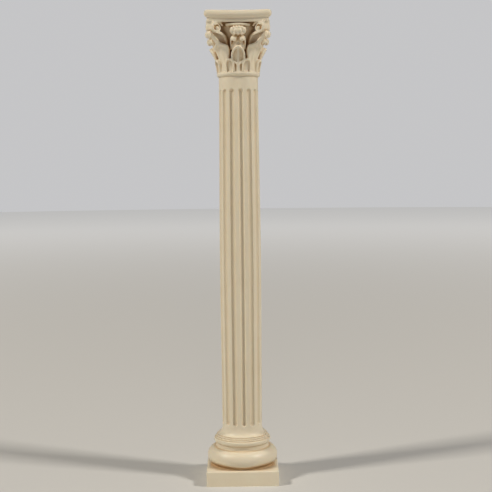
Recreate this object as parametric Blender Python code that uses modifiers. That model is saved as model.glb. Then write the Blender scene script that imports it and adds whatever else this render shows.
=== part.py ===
"""Desk-top Corinthian column, cast in one piece in cream resin.

The whole column is one closed body: a square plinth, a turned base, a fluted shaft with a slight swell,
and a capital with two rows of leaves, corner volutes, paired inner scrolls and a hollow-sided abacus.
Units are metres, +Z is up, the origin is the centre of the underside and the front faces -Y.
"""

import math

import bmesh
import bpy
from mathutils import Matrix, Vector

# Heights of the courses, from the ground up
PLINTH_HEIGHT = 0.0078
LOWER_TORUS_HEIGHT = 0.0091
SCOTIA_HEIGHT = 0.0017
UPPER_TORUS_HEIGHT = 0.0042
CINCTURE_HEIGHT = 0.0012
SHAFT_HEIGHT = 0.1849
ASTRAGAL_HEIGHT = 0.0025
BELL_HEIGHT = 0.0238
ABACUS_HEIGHT = 0.0058

# Plinth and turned base
PLINTH_SIDE = 0.0371
PLINTH_EDGE_ROUND = 0.0007
LOWER_TORUS_RADIUS = 0.0183
LOWER_TORUS_BULGE = 0.0042
SCOTIA_RADIUS = 0.0137
SCOTIA_ENDS = (0.35, 0.25)
UPPER_TORUS_RADIUS = 0.0148
UPPER_TORUS_BULGE = 0.0023
CINCTURE_RADII = (0.01285, 0.01345, 0.01400)
CINCTURE_STEP = 0.00078
FILLET_RADIUS = 0.0164
FILLET_HEIGHT = 0.0010

# Shaft and flutes
FLARE_FOOT_RADIUS = 0.0123
FLARE_HEIGHT = 0.0042
SHAFT_FOOT_RADIUS = 0.01036
SHAFT_BELLY_RADIUS = 0.01071
SHAFT_HEAD_RADIUS = 0.01005
BELLY_SHARE = 0.44
FLUTE_COUNT = 14
FLUTE_WIDTH = 0.00255
FLUTE_DEPTH = 0.00105
FLUTE_FOOT_GAP = 0.0007
FLUTE_HEAD_GAP = 0.0064
FLUTE_TURN = math.radians(5.5)
ASTRAGAL_PROUD = 0.00105

# Bell of the capital
BELL_PROUD = 0.00035
BELL_RIM_RADIUS = 0.0123
BELL_WAIST = 0.0007
LIP_PROUD = 0.0020
LIP_HEIGHT = 0.0014
LIP_DROP = 0.0021
LIP_CUT = 0.0004
LIP_HALF_ANGLE = math.radians(26)

# Leaves: rise above the foot of the bell, half width, thickness and lean of the tip
LEAF_PROUD = 0.0005
LOWER_LEAF_PROUD = 0.0008
LOWER_LEAF_RISE = 0.0063
LOWER_LEAF_HALF_WIDTH = 0.0024
LOWER_LEAF_FOOT_HALF_WIDTH = 0.0022
LOWER_LEAF_THICKNESS = 0.0020
LOWER_LEAF_LEAN = 0.0013
FACE_LEAF_RISE = 0.0123
FACE_LEAF_HALF_WIDTH = 0.0037
FACE_LEAF_THICKNESS = 0.0016
FACE_LEAF_LEAN = 0.0042
STEM_HALF_WIDTH = 0.0011
CORNER_LEAF_RISE = 0.0173
CORNER_LEAF_FOOT_HALF_WIDTH = 0.0031
CORNER_LEAF_HALF_WIDTH = 0.0051
CORNER_LEAF_THICKNESS = 0.0013
CURL_REACH = 0.0204
CURL_RADIUS = 0.00125
CURL_HALF_WIDTH = 0.0014
LEAF_RELIEF = 0.0004
LEAF_BACK_SHARE = 0.86
ROOT_CLIMB = 0.30

# Shares of a leaf's rise where its stem starts to widen, where it is full and where its head starts, then
# the roundness of the head: 2 for a round arch, less for a pointed one, and the spans of its outline
LOWER_LEAF_SHAPE = (0.0, 0.3, 0.52, 2.0, 3)
FACE_LEAF_SHAPE = (0.24, 0.46, 0.62, 1.75, 4)

# Bend of a leaf: share of the rise that stays upright, then lean and rise at the bend, as shares
LEAF_UPRIGHT = 0.35
LEAF_BEND = (0.42, 0.68)

# Last station of a leaf and its half width there, as shares
LEAF_TIP = (0.995, 0.06)

# Shares of a corner leaf's climb: where it starts to widen and is full, and where it narrows to the curl
CORNER_LEAF_WIDENS = (0.15, 0.65)
CORNER_LEAF_NARROWS = (0.71, 0.82)

# Shares of a corner leaf's rise: its upright run, and its lead into the curl
CORNER_LEAF_UPRIGHT = 0.70
CURL_LEAD = 0.36
CURL_END_SHARE = 0.6

# Stations across a leaf from rim to rim as (share of the half width, lift as a share of the relief)
PLAIN_BLADE = ((-1.0, -1.2), (-0.78, 0.0), (0.0, -1.1), (0.78, 0.0), (1.0, -1.2))
RIBBED_BLADE = ((-1.0, -1.2), (-0.8, 0.0), (-0.5, -1.0), (0.0, -0.4), (0.5, -1.0), (0.8, 0.0), (1.0, -1.2))

# Where a corner leaf's curl begins and how far it turns
CURL_BEGIN = math.radians(128)
CURL_TURN = math.radians(190)

# Corner volutes: their ends stand open to the faces of the abacus by the splay
VOLUTE_RADIUS = 0.0026
VOLUTE_DROP = 0.0028
VOLUTE_REACH = 0.0177
VOLUTE_WIDTH = 0.0061
VOLUTE_SPLAY = math.radians(8)
VOLUTE_RELIEF = 0.0009
VOLUTE_BAND = 0.0010
BAND_SHARES = (1.35, 0.70)
VOLUTE_EYE = 0.0010
EYE_TOP = (0.3, 0.6)
STALK_THICKNESS = 0.0013
STALK_FOOT_RISE = 0.0118
STALK_FOOT_HALF_WIDTH = 0.0035

# Bend of the stalk: share of its rise that stays upright, then its run out and rise left at the bend, as
# shares, and how far past the axle it ends, as a share of the roll's radius
STALK_UPRIGHT = 0.82
STALK_BEND = (0.28, 0.12)
STALK_END = 0.2

# Middle line of the spiral as (degrees from straight out, radius), winding from the bell side into the eye
SPIRAL_STOPS = (
    (166, 0.0038), (90, 0.0027), (0, 0.00215), (-90, 0.0020), (-180, 0.00205), (-230, 0.00195),
)

# Inner scrolls and the flower in the middle of each side
SCROLL_SPACING = 0.0038
SCROLL_BALL = 0.00138
SCROLL_RISE = 0.0155
SCROLL_REACH = 0.0132
SCROLL_STEM = 0.0006
SCROLL_GAP = 0.00007
SCROLL_STEM_LEAN = 0.00024
SCROLL_CREST = 0.0003
SCROLL_BEND = (10, 55, 100, 145)
CALYX_HALF_WIDTH = 0.0035
CALYX_TAPER = 0.12
CALYX_SHOULDER = 0.8
CALYX_FLAT = 0.35
CALYX_FOOT_REACH = 0.0128
CALYX_RISE = 0.0105
FLOWER_WIDTH = 0.0084
FLOWER_HEIGHT = 0.0048
FLOWER_RISE = 0.0194
FLOWER_REACH = 0.0156
FLOWER_SWELL = 0.0014
FLOWER_LOBES = 5
FLOWER_ARC = (-30, 210)

# Outline of the flower: each lobe's points as (share of the lobe, share of the size), then the drawn-in
# lower edge as shares of the width and the height
LOBE_POINTS = ((0.0, 0.84), (0.3, 1.0), (0.7, 1.0))
FLOWER_FOOT = ((-0.31, -0.46), (0.0, -0.36), (0.31, -0.46))

# Size of the flower's outline at its root, at its fullest and at its front
FLOWER_SCALES = (0.85, 1.0, 0.62)

# Abacus
ABACUS_SIDE = 0.0338
ABACUS_HOLLOW = 0.0016
ABACUS_CHAMFER = 0.0017
FASCIA_HEIGHT = 0.0016
FASCIA_SETBACK = 0.0013
GROOVE_SETBACK = 0.0016
GROOVE_HEIGHT = 0.0006
OVOLO = 0.0015
TOP_EDGE_ROUND = 0.0009
GROOVE_SHARE = 0.4
EDGE_TURNS = (-70, -40, -8, 25)
TOP_CORNER = (0.0004, 0.0003)

# Facets
BASE_SIDES = 32
SHAFT_SIDES = 2 * FLUTE_COUNT
FLUTE_RUNS = 3
FLUTE_ARC = (-84, -42, 0, 42, 84)
FLUTE_END_BENDS = (76, 45)
BELL_SIDES = 28
BELL_SPANS = 3
LIP_SPANS = 3
CLIMB_SHARES = (0.0, 0.18, 0.34, 0.47, 0.53, 0.60, 0.78, 1.0)
CURL_STEPS = 4
ROLL_ARC = (180, 202, 225, 247, 270, 293, 315, 338, 360)
STALK_STEPS = 4
SPIRAL_STEPS = 10
EYE_SIDES = 6
BALL_SEGMENTS = 6
BALL_RINGS = 5
CALYX_STEPS = 2
ABACUS_SPANS = 5

# How far joined forms reach into each other, and what counts as flat
OVERLAP = 0.0006
FLATNESS = 0.0000005
MERGE_DISTANCE = 0.00001
CARVING_ANGLE = math.radians(1.0)
LEVEL_ANGLE = math.radians(0.03)

# Levels worked out from the courses
BASE_FOOT = PLINTH_HEIGHT
SCOTIA_FOOT = BASE_FOOT + LOWER_TORUS_HEIGHT
UPPER_TORUS_FOOT = SCOTIA_FOOT + SCOTIA_HEIGHT
CINCTURE_FOOT = UPPER_TORUS_FOOT + UPPER_TORUS_HEIGHT
SHAFT_FOOT = CINCTURE_FOOT + CINCTURE_HEIGHT
ASTRAGAL_FOOT = SHAFT_FOOT + SHAFT_HEIGHT
BELL_FOOT = ASTRAGAL_FOOT + ASTRAGAL_HEIGHT
ABACUS_FOOT = BELL_FOOT + BELL_HEIGHT
COLUMN_TOP = ABACUS_FOOT + ABACUS_HEIGHT
BELL_RADIUS = SHAFT_HEAD_RADIUS + BELL_PROUD
ROOT_REACH = BELL_RADIUS - BELL_WAIST - 2 * OVERLAP
LIP_RADIUS = BELL_RIM_RADIUS + LIP_PROUD

QUARTER = math.pi / 2
EIGHTH = math.pi / 4


def clear_scene():
    for old in list(bpy.data.objects):
        bpy.data.objects.remove(old, do_unlink=True)


def make_collection(name):
    collection = bpy.data.collections.new(name)
    bpy.context.scene.collection.children.link(collection)
    return collection


def cast_resin():
    """Cream cast resin with a satin skin."""
    material = bpy.data.materials.new("cast resin")
    material.use_nodes = True
    shader = material.node_tree.nodes["Principled BSDF"]
    shader.inputs["Base Color"].default_value = (0.78, 0.68, 0.52, 1.0)
    shader.inputs["Roughness"].default_value = 0.42
    shader.inputs["Metallic"].default_value = 0.0
    return material


def keep_as_helper(piece, collection):
    """Moves an object to a collection of helper forms and keeps it out of the finished part."""
    for owner in list(piece.users_collection):
        owner.objects.unlink(piece)
    collection.objects.link(piece)
    piece.hide_render = True
    piece.display_type = "WIRE"


def mesh_object(name, mesh, collection, helper=True):
    piece = bpy.data.objects.new(name, mesh)
    if helper:
        keep_as_helper(piece, collection)
    else:
        collection.objects.link(piece)
    return piece


def is_flat(face):
    """Whether all corners of a face lie in one plane."""
    middle = face.calc_center_median()
    return all(abs((corner.co - middle).dot(face.normal)) < FLATNESS for corner in face.verts)


def loft(name, rings, collection):
    """One closed body through rings of equal length, with a flat cap at each end."""
    shape = bmesh.new()
    rows = [[shape.verts.new(point) for point in ring] for ring in rings]
    count = len(rings[0])
    for low, high in zip(rows, rows[1:]):
        for i in range(count):
            j = (i + 1) % count
            shape.faces.new((low[i], low[j], high[j], high[i]))
    shape.faces.new(list(reversed(rows[0])))
    shape.faces.new(rows[-1])
    shape.normal_update()
    bmesh.ops.triangulate(shape, faces=[face for face in shape.faces if not is_flat(face)])
    bmesh.ops.recalc_face_normals(shape, faces=shape.faces)
    mesh = bpy.data.meshes.new(name)
    shape.to_mesh(mesh)
    shape.free()
    return mesh_object(name, mesh, collection)


def turned(name, profile, sides, collection, helper=True):
    """A Screw round the axis of a profile of (radius, height) given from top to bottom."""
    points = [(r, 0.0, z) for r, z in profile]
    points = [(0.0, 0.0, profile[0][1])] + points + [(0.0, 0.0, profile[-1][1])]
    mesh = bpy.data.meshes.new(name)
    mesh.from_pydata(points, [(i, i + 1) for i in range(len(points) - 1)], [])
    piece = mesh_object(name, mesh, collection, helper)
    screw = piece.modifiers.new("turn", "SCREW")
    screw.axis = "Z"
    screw.angle = 2 * math.pi
    screw.steps = sides
    screw.render_steps = sides
    screw.use_merge_vertices = True
    screw.merge_threshold = MERGE_DISTANCE
    screw.use_smooth_shade = False
    return piece


def half_round(centre_radius, centre_height, bulge, half_height, spans, start=90.0):
    """Points of a round moulding from top to bottom, as (radius, height)."""
    points = []
    for i in range(spans + 1):
        angle = math.radians(start - (start + 90) * i / spans)
        rise = half_height * math.sin(angle)
        points.append((centre_radius + bulge * math.cos(angle), centre_height + rise))
    return points


def bezier(p0, p1, p2, p3, t):
    s = 1 - t
    return tuple(
        s ** 3 * a + 3 * s * s * t * b + 3 * s * t * t * c + t ** 3 * d for a, b, c, d in zip(p0, p1, p2, p3)
    )


def smooth(t):
    t = min(max(t, 0.0), 1.0)
    return t * t * (3 - 2 * t)


def eased(value, stretch):
    """Share of a stretch (begin, end) that a value has passed, eased at both ends."""
    return smooth((value - stretch[0]) / (stretch[1] - stretch[0]))


def spun(point, angle):
    """A point built at the front (facing -Y), turned about the column's axis."""
    return Matrix.Rotation(angle, 3, "Z") @ Vector(point)


def wrapped(side, reach, height):
    """A point a distance `side` round the column, at a distance `reach` from its axis, at the front."""
    angle = side / max(reach, BELL_RADIUS)
    return (reach * math.sin(angle), -reach * math.cos(angle), height)


def shaft_radius(height):
    """Slightly swelling shaft: foot, belly and head radii joined by smooth curves."""
    share = (height - SHAFT_FOOT - FLARE_HEIGHT) / (SHAFT_HEIGHT - FLARE_HEIGHT)
    if share < BELLY_SHARE:
        blend = smooth(share / BELLY_SHARE)
        return SHAFT_FOOT_RADIUS + (SHAFT_BELLY_RADIUS - SHAFT_FOOT_RADIUS) * blend
    blend = smooth((share - BELLY_SHARE) / (1 - BELLY_SHARE))
    return SHAFT_BELLY_RADIUS + (SHAFT_HEAD_RADIUS - SHAFT_BELLY_RADIUS) * blend


def make_plinth(collection):
    """Square block with softened upright and top edges and a sharp flat underside."""
    bpy.ops.mesh.primitive_cube_add(size=1.0)
    block = bpy.context.object
    block.name = "plinth form"
    shape = bmesh.new()
    shape.from_mesh(block.data)
    height = PLINTH_HEIGHT
    bmesh.ops.scale(shape, vec=(PLINTH_SIDE, PLINTH_SIDE, height), verts=shape.verts)
    bmesh.ops.translate(shape, vec=(0, 0, height / 2), verts=shape.verts)
    soft = [edge for edge in shape.edges if max(v.co.z for v in edge.verts) > height / 2]
    bmesh.ops.bevel(shape, geom=soft, offset=PLINTH_EDGE_ROUND, segments=2, profile=0.5, affect="EDGES")
    shape.to_mesh(block.data)
    shape.free()
    keep_as_helper(block, collection)


def make_base(collection):
    """Turned base: fillet, large torus, narrow hollow, small torus and stepped cincture."""
    lower_centre = LOWER_TORUS_RADIUS - LOWER_TORUS_BULGE
    upper_centre = UPPER_TORUS_RADIUS - UPPER_TORUS_BULGE
    profile = []
    level = SHAFT_FOOT
    for radius in CINCTURE_RADII:
        profile += [(radius, level), (radius, level - CINCTURE_STEP)]
        level -= CINCTURE_STEP
    upper_middle = UPPER_TORUS_FOOT + UPPER_TORUS_HEIGHT / 2
    upper_torus = half_round(upper_centre, upper_middle, UPPER_TORUS_BULGE, UPPER_TORUS_HEIGHT / 2, 5)
    profile += [(r, z) for r, z in upper_torus if z < level and (z > upper_middle or r > SCOTIA_RADIUS)]
    profile.append((SCOTIA_RADIUS, UPPER_TORUS_FOOT - SCOTIA_HEIGHT * SCOTIA_ENDS[0]))
    profile.append((SCOTIA_RADIUS, SCOTIA_FOOT + SCOTIA_HEIGHT * SCOTIA_ENDS[1]))
    lower_middle = BASE_FOOT + LOWER_TORUS_HEIGHT / 2
    lower_torus = half_round(lower_centre, lower_middle, LOWER_TORUS_BULGE, LOWER_TORUS_HEIGHT / 2, 6)
    profile += [(r, z) for r, z in lower_torus if z > BASE_FOOT + FILLET_HEIGHT]
    profile += [(FILLET_RADIUS, BASE_FOOT + FILLET_HEIGHT), (FILLET_RADIUS, BASE_FOOT - OVERLAP)]
    turned("base form", profile, BASE_SIDES, collection)


def make_shaft(collection):
    """Shaft with its flare at the foot, still without flutes."""
    profile = [(SHAFT_HEAD_RADIUS, BELL_FOOT)]
    flare_top = SHAFT_FOOT + FLARE_HEIGHT
    profile.append((SHAFT_HEAD_RADIUS, ASTRAGAL_FOOT))
    profile += [(shaft_radius(height), height) for height in reversed(flute_levels())]
    profile.append((SHAFT_FOOT_RADIUS, flare_top))
    flare_width = FLARE_FOOT_RADIUS - SHAFT_FOOT_RADIUS
    for i in range(1, 4):
        angle = QUARTER * i / 3
        radius = SHAFT_FOOT_RADIUS + flare_width * (1 - math.cos(angle))
        profile.append((radius, flare_top - FLARE_HEIGHT * math.sin(angle)))
    profile.append((FLARE_FOOT_RADIUS - OVERLAP, SHAFT_FOOT - OVERLAP))
    column = turned("column", profile, SHAFT_SIDES, collection, helper=False)
    column.data.transform(Matrix.Rotation(FLUTE_TURN - QUARTER, 4, "Z"))
    return column


def flute_radius():
    """Radius of the round groove that gives a flute its width and depth."""
    return (FLUTE_WIDTH ** 2 / 4 + FLUTE_DEPTH ** 2) / (2 * FLUTE_DEPTH)


def flute_levels():
    """Levels of the straight run of a flute, shared with the shaft so that their facets line up."""
    end_run = FLUTE_WIDTH / 2
    foot = SHAFT_FOOT + FLARE_HEIGHT + FLUTE_FOOT_GAP + end_run
    head = ASTRAGAL_FOOT - FLUTE_HEAD_GAP - end_run
    return [foot + (head - foot) * i / FLUTE_RUNS for i in range(FLUTE_RUNS + 1)]


def make_flutes(collection):
    """Long round-ended cutters that follow the swell of the shaft."""
    round_radius = flute_radius()
    sink = round_radius - FLUTE_DEPTH
    levels = flute_levels()
    foot, head = levels[0], levels[-1]
    bends = [math.radians(angle) for angle in FLUTE_END_BENDS]
    ends = [(round_radius * math.sin(bend), round_radius * math.cos(bend)) for bend in bends]
    stations = [(foot - drop, radius) for drop, radius in ends]
    stations += [(level, round_radius) for level in levels]
    stations += [(head + rise, radius) for rise, radius in reversed(ends)]
    arc = [math.radians(angle) for angle in FLUTE_ARC]
    for n in range(FLUTE_COUNT):
        turn = FLUTE_TURN + 2 * math.pi * n / FLUTE_COUNT
        rings = []
        for height, radius in stations:
            centre = shaft_radius(height) + sink
            ring = [(radius * math.sin(a), -(centre - radius * math.cos(a)), height) for a in arc]
            ring.append((0.0, -(centre + round_radius), height))
            rings.append([spun(point, turn) for point in ring])
        loft(f"flute cutter {n + 1}", rings, collection)


def make_bell(collection):
    """Astragal ring and the plain bell behind the leaves."""
    ring = ASTRAGAL_HEIGHT / 2
    ring_radius = SHAFT_HEAD_RADIUS + ASTRAGAL_PROUD - ring
    profile = [(BELL_RIM_RADIUS, ABACUS_FOOT + OVERLAP)]
    for i in range(BELL_SPANS + 1):
        share = 1 - i / BELL_SPANS
        flare = (BELL_RIM_RADIUS - BELL_RADIUS) * share ** 6
        radius = BELL_RADIUS + flare - BELL_WAIST * math.sin(math.pi * share ** 1.5)
        profile.append((radius, BELL_FOOT + (BELL_HEIGHT - LIP_DROP) * share))
    profile += half_round(ring_radius, ASTRAGAL_FOOT + ring, ring, ring, 4, start=55.0)
    profile.append((SHAFT_HEAD_RADIUS - OVERLAP, ASTRAGAL_FOOT))
    return turned("bell form", profile, BELL_SIDES, collection)


def make_lips(collection):
    """Short stretch of the bell's rim that shows between the volutes on each side."""
    foot = ABACUS_FOOT - LIP_DROP
    top = foot + LIP_HEIGHT
    root = BELL_RIM_RADIUS - 2 * OVERLAP
    section = [(LIP_RADIUS, foot + LIP_CUT), (LIP_RADIUS, top), (root, top), (root, foot)]
    section.append((LIP_RADIUS - LIP_CUT, foot))
    for n in range(4):
        rings = []
        for i in range(LIP_SPANS + 1):
            angle = LIP_HALF_ANGLE * (2 * i / LIP_SPANS - 1) + QUARTER * n
            rings.append([spun((0, -reach, height), angle) for reach, height in section])
        loft(f"lip form {n + 1}", rings, collection)


def leaf_section(centre, ahead, half_width, thickness, relief, stations, rooted=False):
    """Closed ring across a leaf: rim, sunk blade and mid rib in front, back free or rooted in the bell."""
    front = Vector((ahead[1], -ahead[0]))
    ring = []
    for u, lift in stations:
        reach, height = Vector(centre) + front * (thickness / 2 + relief * lift)
        ring.append(wrapped(u * half_width, reach, height))
    reach, height = Vector(centre) - front * (thickness / 2)
    if rooted:
        reach, height = ROOT_REACH, centre[1] + max(centre[0] - ROOT_REACH, 0.0) * ROOT_CLIMB
    ring.append(wrapped(LEAF_BACK_SHARE * half_width, reach, height))
    ring.append(wrapped(-LEAF_BACK_SHARE * half_width, reach, height))
    return ring


def path_frames(path):
    """Each point of a path in the upright radial plane with its unit direction."""
    frames = []
    for i, point in enumerate(path):
        before = Vector(path[max(i - 1, 0)])
        after = Vector(path[min(i + 1, len(path) - 1)])
        frames.append((point, (after - before).normalized()))
    return frames


def arch(share, shoulder, point):
    """Half width of a leaf's head, 1 at the shoulder and falling to 0 at the tip."""
    rest = (share - shoulder) / (1 - shoulder)
    return (1 - max(rest, 0.0) ** point) ** (1 / point)


def make_leaf(name, rise, half_width, proud, thickness, lean, stem, shape, blade, rooted, turn, collection):
    """A leaf that climbs the bell and leans out at its tip."""
    opens, full, shoulder, point, spans = shape
    last, least = LEAF_TIP
    foot = (BELL_RADIUS + proud - thickness / 2, BELL_FOOT - OVERLAP / 2)
    tip = (foot[0] + lean, BELL_FOOT + rise)
    upright = (foot[0], foot[1] + rise * LEAF_UPRIGHT)
    bend = (foot[0] + lean * LEAF_BEND[0], foot[1] + rise * LEAF_BEND[1])
    shares = [0.0] + ([opens, full] if opens > 0 else [])
    shares += [1 - (1 - shoulder) * math.cos(QUARTER * i / spans) for i in range(spans)] + [last]
    path = [bezier(foot, upright, bend, tip, share) for share in shares]
    rings = []
    for share, (centre, ahead) in zip(shares, path_frames(path)):
        width = stem + (half_width - stem) * smooth((share - opens) / (full - opens))
        width *= arch(share, shoulder, point) if share > shoulder else 1.0
        width = max(width, half_width * least)
        relief = LEAF_RELIEF * min(width / half_width, 1.0)
        if share == last:
            blade = [(u, 1 - u * u) for u, lift in blade]
        ring = leaf_section(centre, ahead, width, thickness, relief, blade, rooted)
        rings.append([spun(p, turn) for p in ring])
    loft(name, rings, collection)


def make_leaves(collection):
    for n in range(8):
        make_leaf(
            f"lower leaf {n + 1}", LOWER_LEAF_RISE, LOWER_LEAF_HALF_WIDTH, LOWER_LEAF_PROUD,
            LOWER_LEAF_THICKNESS, LOWER_LEAF_LEAN, LOWER_LEAF_FOOT_HALF_WIDTH, LOWER_LEAF_SHAPE, PLAIN_BLADE,
            False, EIGHTH * (n + 0.5), collection,
        )
    for n in range(4):
        make_leaf(
            f"face leaf {n + 1}", FACE_LEAF_RISE, FACE_LEAF_HALF_WIDTH, LEAF_PROUD, FACE_LEAF_THICKNESS,
            FACE_LEAF_LEAN, STEM_HALF_WIDTH, FACE_LEAF_SHAPE, RIBBED_BLADE, True, QUARTER * n, collection,
        )
        make_corner_leaf(n, collection)


def corner_leaf_path():
    """Middle line of a corner leaf: a climb up the bell, then a curl outwards and down."""
    centre = (CURL_REACH, BELL_FOOT + CORNER_LEAF_RISE)
    begin = (math.cos(CURL_BEGIN), math.sin(CURL_BEGIN))
    turn_in = (centre[0] + CURL_RADIUS * begin[0], centre[1] + CURL_RADIUS * begin[1])
    along = (begin[1], -begin[0])
    foot = (BELL_RADIUS + LEAF_PROUD - CORNER_LEAF_THICKNESS / 2, BELL_FOOT - OVERLAP / 2)
    climb = (foot[0], foot[1] + CORNER_LEAF_RISE * CORNER_LEAF_UPRIGHT)
    pull = CORNER_LEAF_RISE * CURL_LEAD
    outward = (turn_in[0] - along[0] * pull, turn_in[1] - along[1] * pull)
    path = [bezier(foot, climb, outward, turn_in, share) for share in CLIMB_SHARES]
    for i in range(1, CURL_STEPS + 1):
        angle = CURL_BEGIN - CURL_TURN * i / CURL_STEPS
        path.append((centre[0] + CURL_RADIUS * math.cos(angle), centre[1] + CURL_RADIUS * math.sin(angle)))
    return path


def make_corner_leaf(n, collection):
    path = corner_leaf_path()
    last = len(path) - 1
    rings = []
    for i, (centre, ahead) in enumerate(path_frames(path)):
        climbed = (centre[1] - BELL_FOOT) / CORNER_LEAF_RISE if i < len(CLIMB_SHARES) else 1.0
        swell = eased(climbed, CORNER_LEAF_WIDENS)
        slim = eased(climbed, CORNER_LEAF_NARROWS)
        width = CORNER_LEAF_FOOT_HALF_WIDTH + (CORNER_LEAF_HALF_WIDTH - CORNER_LEAF_FOOT_HALF_WIDTH) * swell
        width += (CURL_HALF_WIDTH - width) * slim
        if i == last:
            width *= CURL_END_SHARE
        relief = LEAF_RELIEF * (1 - slim)
        ring = leaf_section(centre, ahead, width, CORNER_LEAF_THICKNESS, relief, PLAIN_BLADE)
        rings.append([spun(p, EIGHTH + QUARTER * n) for p in ring])
    loft(f"corner leaf {n + 1}", rings, collection)


def volute_centre():
    return (VOLUTE_REACH, ABACUS_FOOT - VOLUTE_DROP)


def volute_point(side, out, rise):
    """Point `out` and `rise` from a volute's axle, `side` along it, with the ends opened by the splay."""
    reach, height = volute_centre()
    return (side - math.copysign(math.tan(VOLUTE_SPLAY), side) * out, -(reach + out), height + rise)


def volute_arc(side, radius, degrees):
    """Points on an arc about a volute's axle."""
    angles = [math.radians(angle) for angle in degrees]
    return [volute_point(side, radius * math.cos(angle), radius * math.sin(angle)) for angle in angles]


def make_volutes(collection):
    """Volute under each corner of the abacus: round below, joined to the abacus above, spiral at each end."""
    end = VOLUTE_WIDTH / 2 - VOLUTE_RELIEF
    top = VOLUTE_DROP + OVERLAP
    for n in range(4):
        turn = EIGHTH + QUARTER * n
        rings = []
        for side in (-end, end):
            ring = volute_arc(side, VOLUTE_RADIUS, ROLL_ARC)
            ring += [volute_point(side, VOLUTE_RADIUS, top), volute_point(side, -VOLUTE_RADIUS, top)]
            rings.append([spun(p, turn) for p in ring])
        loft(f"volute roll {n + 1}", rings, collection)
        make_stalk(n, turn, collection)
        for sign in (-1, 1):
            make_spiral(f"volute spiral {n + 1} {'left' if sign < 0 else 'right'}", sign, turn, collection)


def make_stalk(n, turn, collection):
    """Band that climbs the bell, bends outwards and carries the roll."""
    reach, height = volute_centre()
    foot = (BELL_RADIUS - BELL_WAIST + STALK_THICKNESS / 3, BELL_FOOT + STALK_FOOT_RISE)
    end = (reach + STALK_END * VOLUTE_RADIUS, height - VOLUTE_RADIUS + STALK_THICKNESS / 2)
    run, rise = end[0] - foot[0], end[1] - foot[1]
    climb = (foot[0], foot[1] + rise * STALK_UPRIGHT)
    bend = (foot[0] + run * STALK_BEND[0], end[1] - rise * STALK_BEND[1])
    path = [bezier(foot, climb, bend, end, i / STALK_STEPS) for i in range(STALK_STEPS + 1)]
    rings = []
    for i, (centre, ahead) in enumerate(path_frames(path)):
        front = Vector((ahead[1], -ahead[0])) * (STALK_THICKNESS / 2)
        half = STALK_FOOT_HALF_WIDTH + (VOLUTE_WIDTH / 2 - STALK_FOOT_HALF_WIDTH) * i / STALK_STEPS
        ring = []
        for side, sign in ((-half, 1), (half, 1), (half, -1), (-half, -1)):
            out, up = Vector(centre) + front * sign
            ring.append((side, -out, up))
        rings.append([spun(p, turn) for p in ring])
    loft(f"volute stalk {n + 1}", rings, collection)


def spiral_radius(degrees):
    """Radius of the spiral's middle line, straight between its stops."""
    for (begin, wide), (end, narrow) in zip(SPIRAL_STOPS, SPIRAL_STOPS[1:]):
        if degrees >= end:
            break
    return wide + (narrow - wide) * (begin - degrees) / (begin - end)


def make_spiral(name, sign, turn, collection):
    """Raised band that winds from the bell side over the roll towards its eye."""
    outside = VOLUTE_WIDTH / 2
    inside = outside - VOLUTE_RELIEF - OVERLAP
    first, last = SPIRAL_STOPS[0][0], SPIRAL_STOPS[-1][0]
    rings = []
    for i in range(SPIRAL_STEPS + 1):
        share = i / SPIRAL_STEPS
        degrees = first + (last - first) * share
        radius = spiral_radius(degrees)
        half_band = VOLUTE_BAND * (BAND_SHARES[0] + (BAND_SHARES[1] - BAND_SHARES[0]) * share) / 2
        ring = []
        for offset, side in ((1, inside), (1, outside), (-1, outside), (-1, inside)):
            ring += volute_arc(sign * side, radius + half_band * offset, [degrees])
        rings.append([spun(p, turn) for p in ring])
    loft(name, rings, collection)
    ends = ((inside, VOLUTE_EYE), (outside + VOLUTE_EYE * EYE_TOP[0], VOLUTE_EYE * EYE_TOP[1]))
    eye_turns = [360 * i / EYE_SIDES for i in range(EYE_SIDES)]
    rings = [[spun(p, turn) for p in volute_arc(sign * side, radius, eye_turns)] for side, radius in ends]
    loft(name + " eye", rings, collection)


def make_scrolls(collection):
    """Pair of small inward scrolls on stems below each flower."""
    height = BELL_FOOT + SCROLL_RISE
    for n in range(4):
        make_calyx(n, collection)
        for sign in (-1, 1):
            middle = sign * SCROLL_SPACING / 2
            bpy.ops.mesh.primitive_uv_sphere_add(
                segments=BALL_SEGMENTS, ring_count=BALL_RINGS, radius=SCROLL_BALL,
            )
            ball = bpy.context.object
            ball.name = f"scroll ball {n + 1} {'left' if sign < 0 else 'right'}"
            place = Matrix.Rotation(QUARTER * n, 4, "Z") @ Matrix.Translation((middle, -SCROLL_REACH, height))
            ball.data.transform(place)
            keep_as_helper(ball, collection)
            make_scroll_stem(n, sign, middle, height, collection)


def make_scroll_stem(n, sign, middle, height, collection):
    """Stem that climbs outside the ball, leaning out as it goes, and bends over it."""
    bend = SCROLL_BALL + SCROLL_GAP
    foot = BELL_FOOT + CALYX_RISE
    path = [(middle + sign * bend, foot), (middle + sign * (bend + SCROLL_STEM_LEAN), (foot + height) / 2)]
    for degrees in SCROLL_BEND:
        angle = math.radians(degrees)
        path.append((middle + sign * bend * math.cos(angle), height + bend * math.sin(angle)))
    rings = []
    for i, (side, level) in enumerate(path):
        before = Vector(path[max(i - 1, 0)])
        after = Vector(path[min(i + 1, len(path) - 1)])
        ahead = (after - before).normalized()
        across = Vector((ahead[1], -ahead[0])) * SCROLL_STEM
        climbed = min((level - foot) / (height - foot), 1.0)
        low = BELL_RADIUS + SCROLL_STEM
        front = low + (SCROLL_REACH + SCROLL_BALL / 2 - low) * smooth(climbed)
        inner = (side - across[0], level - across[1])
        outer = (side + across[0], level + across[1])
        ring = [
            (inner[0], -ROOT_REACH, inner[1]), (inner[0], -front, inner[1]),
            (side, -(front + SCROLL_CREST), level),
            (outer[0], -front, outer[1]), (outer[0], -ROOT_REACH, outer[1]),
        ]
        rings.append([spun(p, QUARTER * n) for p in ring])
    loft(f"scroll stem {n + 1} {'left' if sign < 0 else 'right'}", rings, collection)


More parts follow.
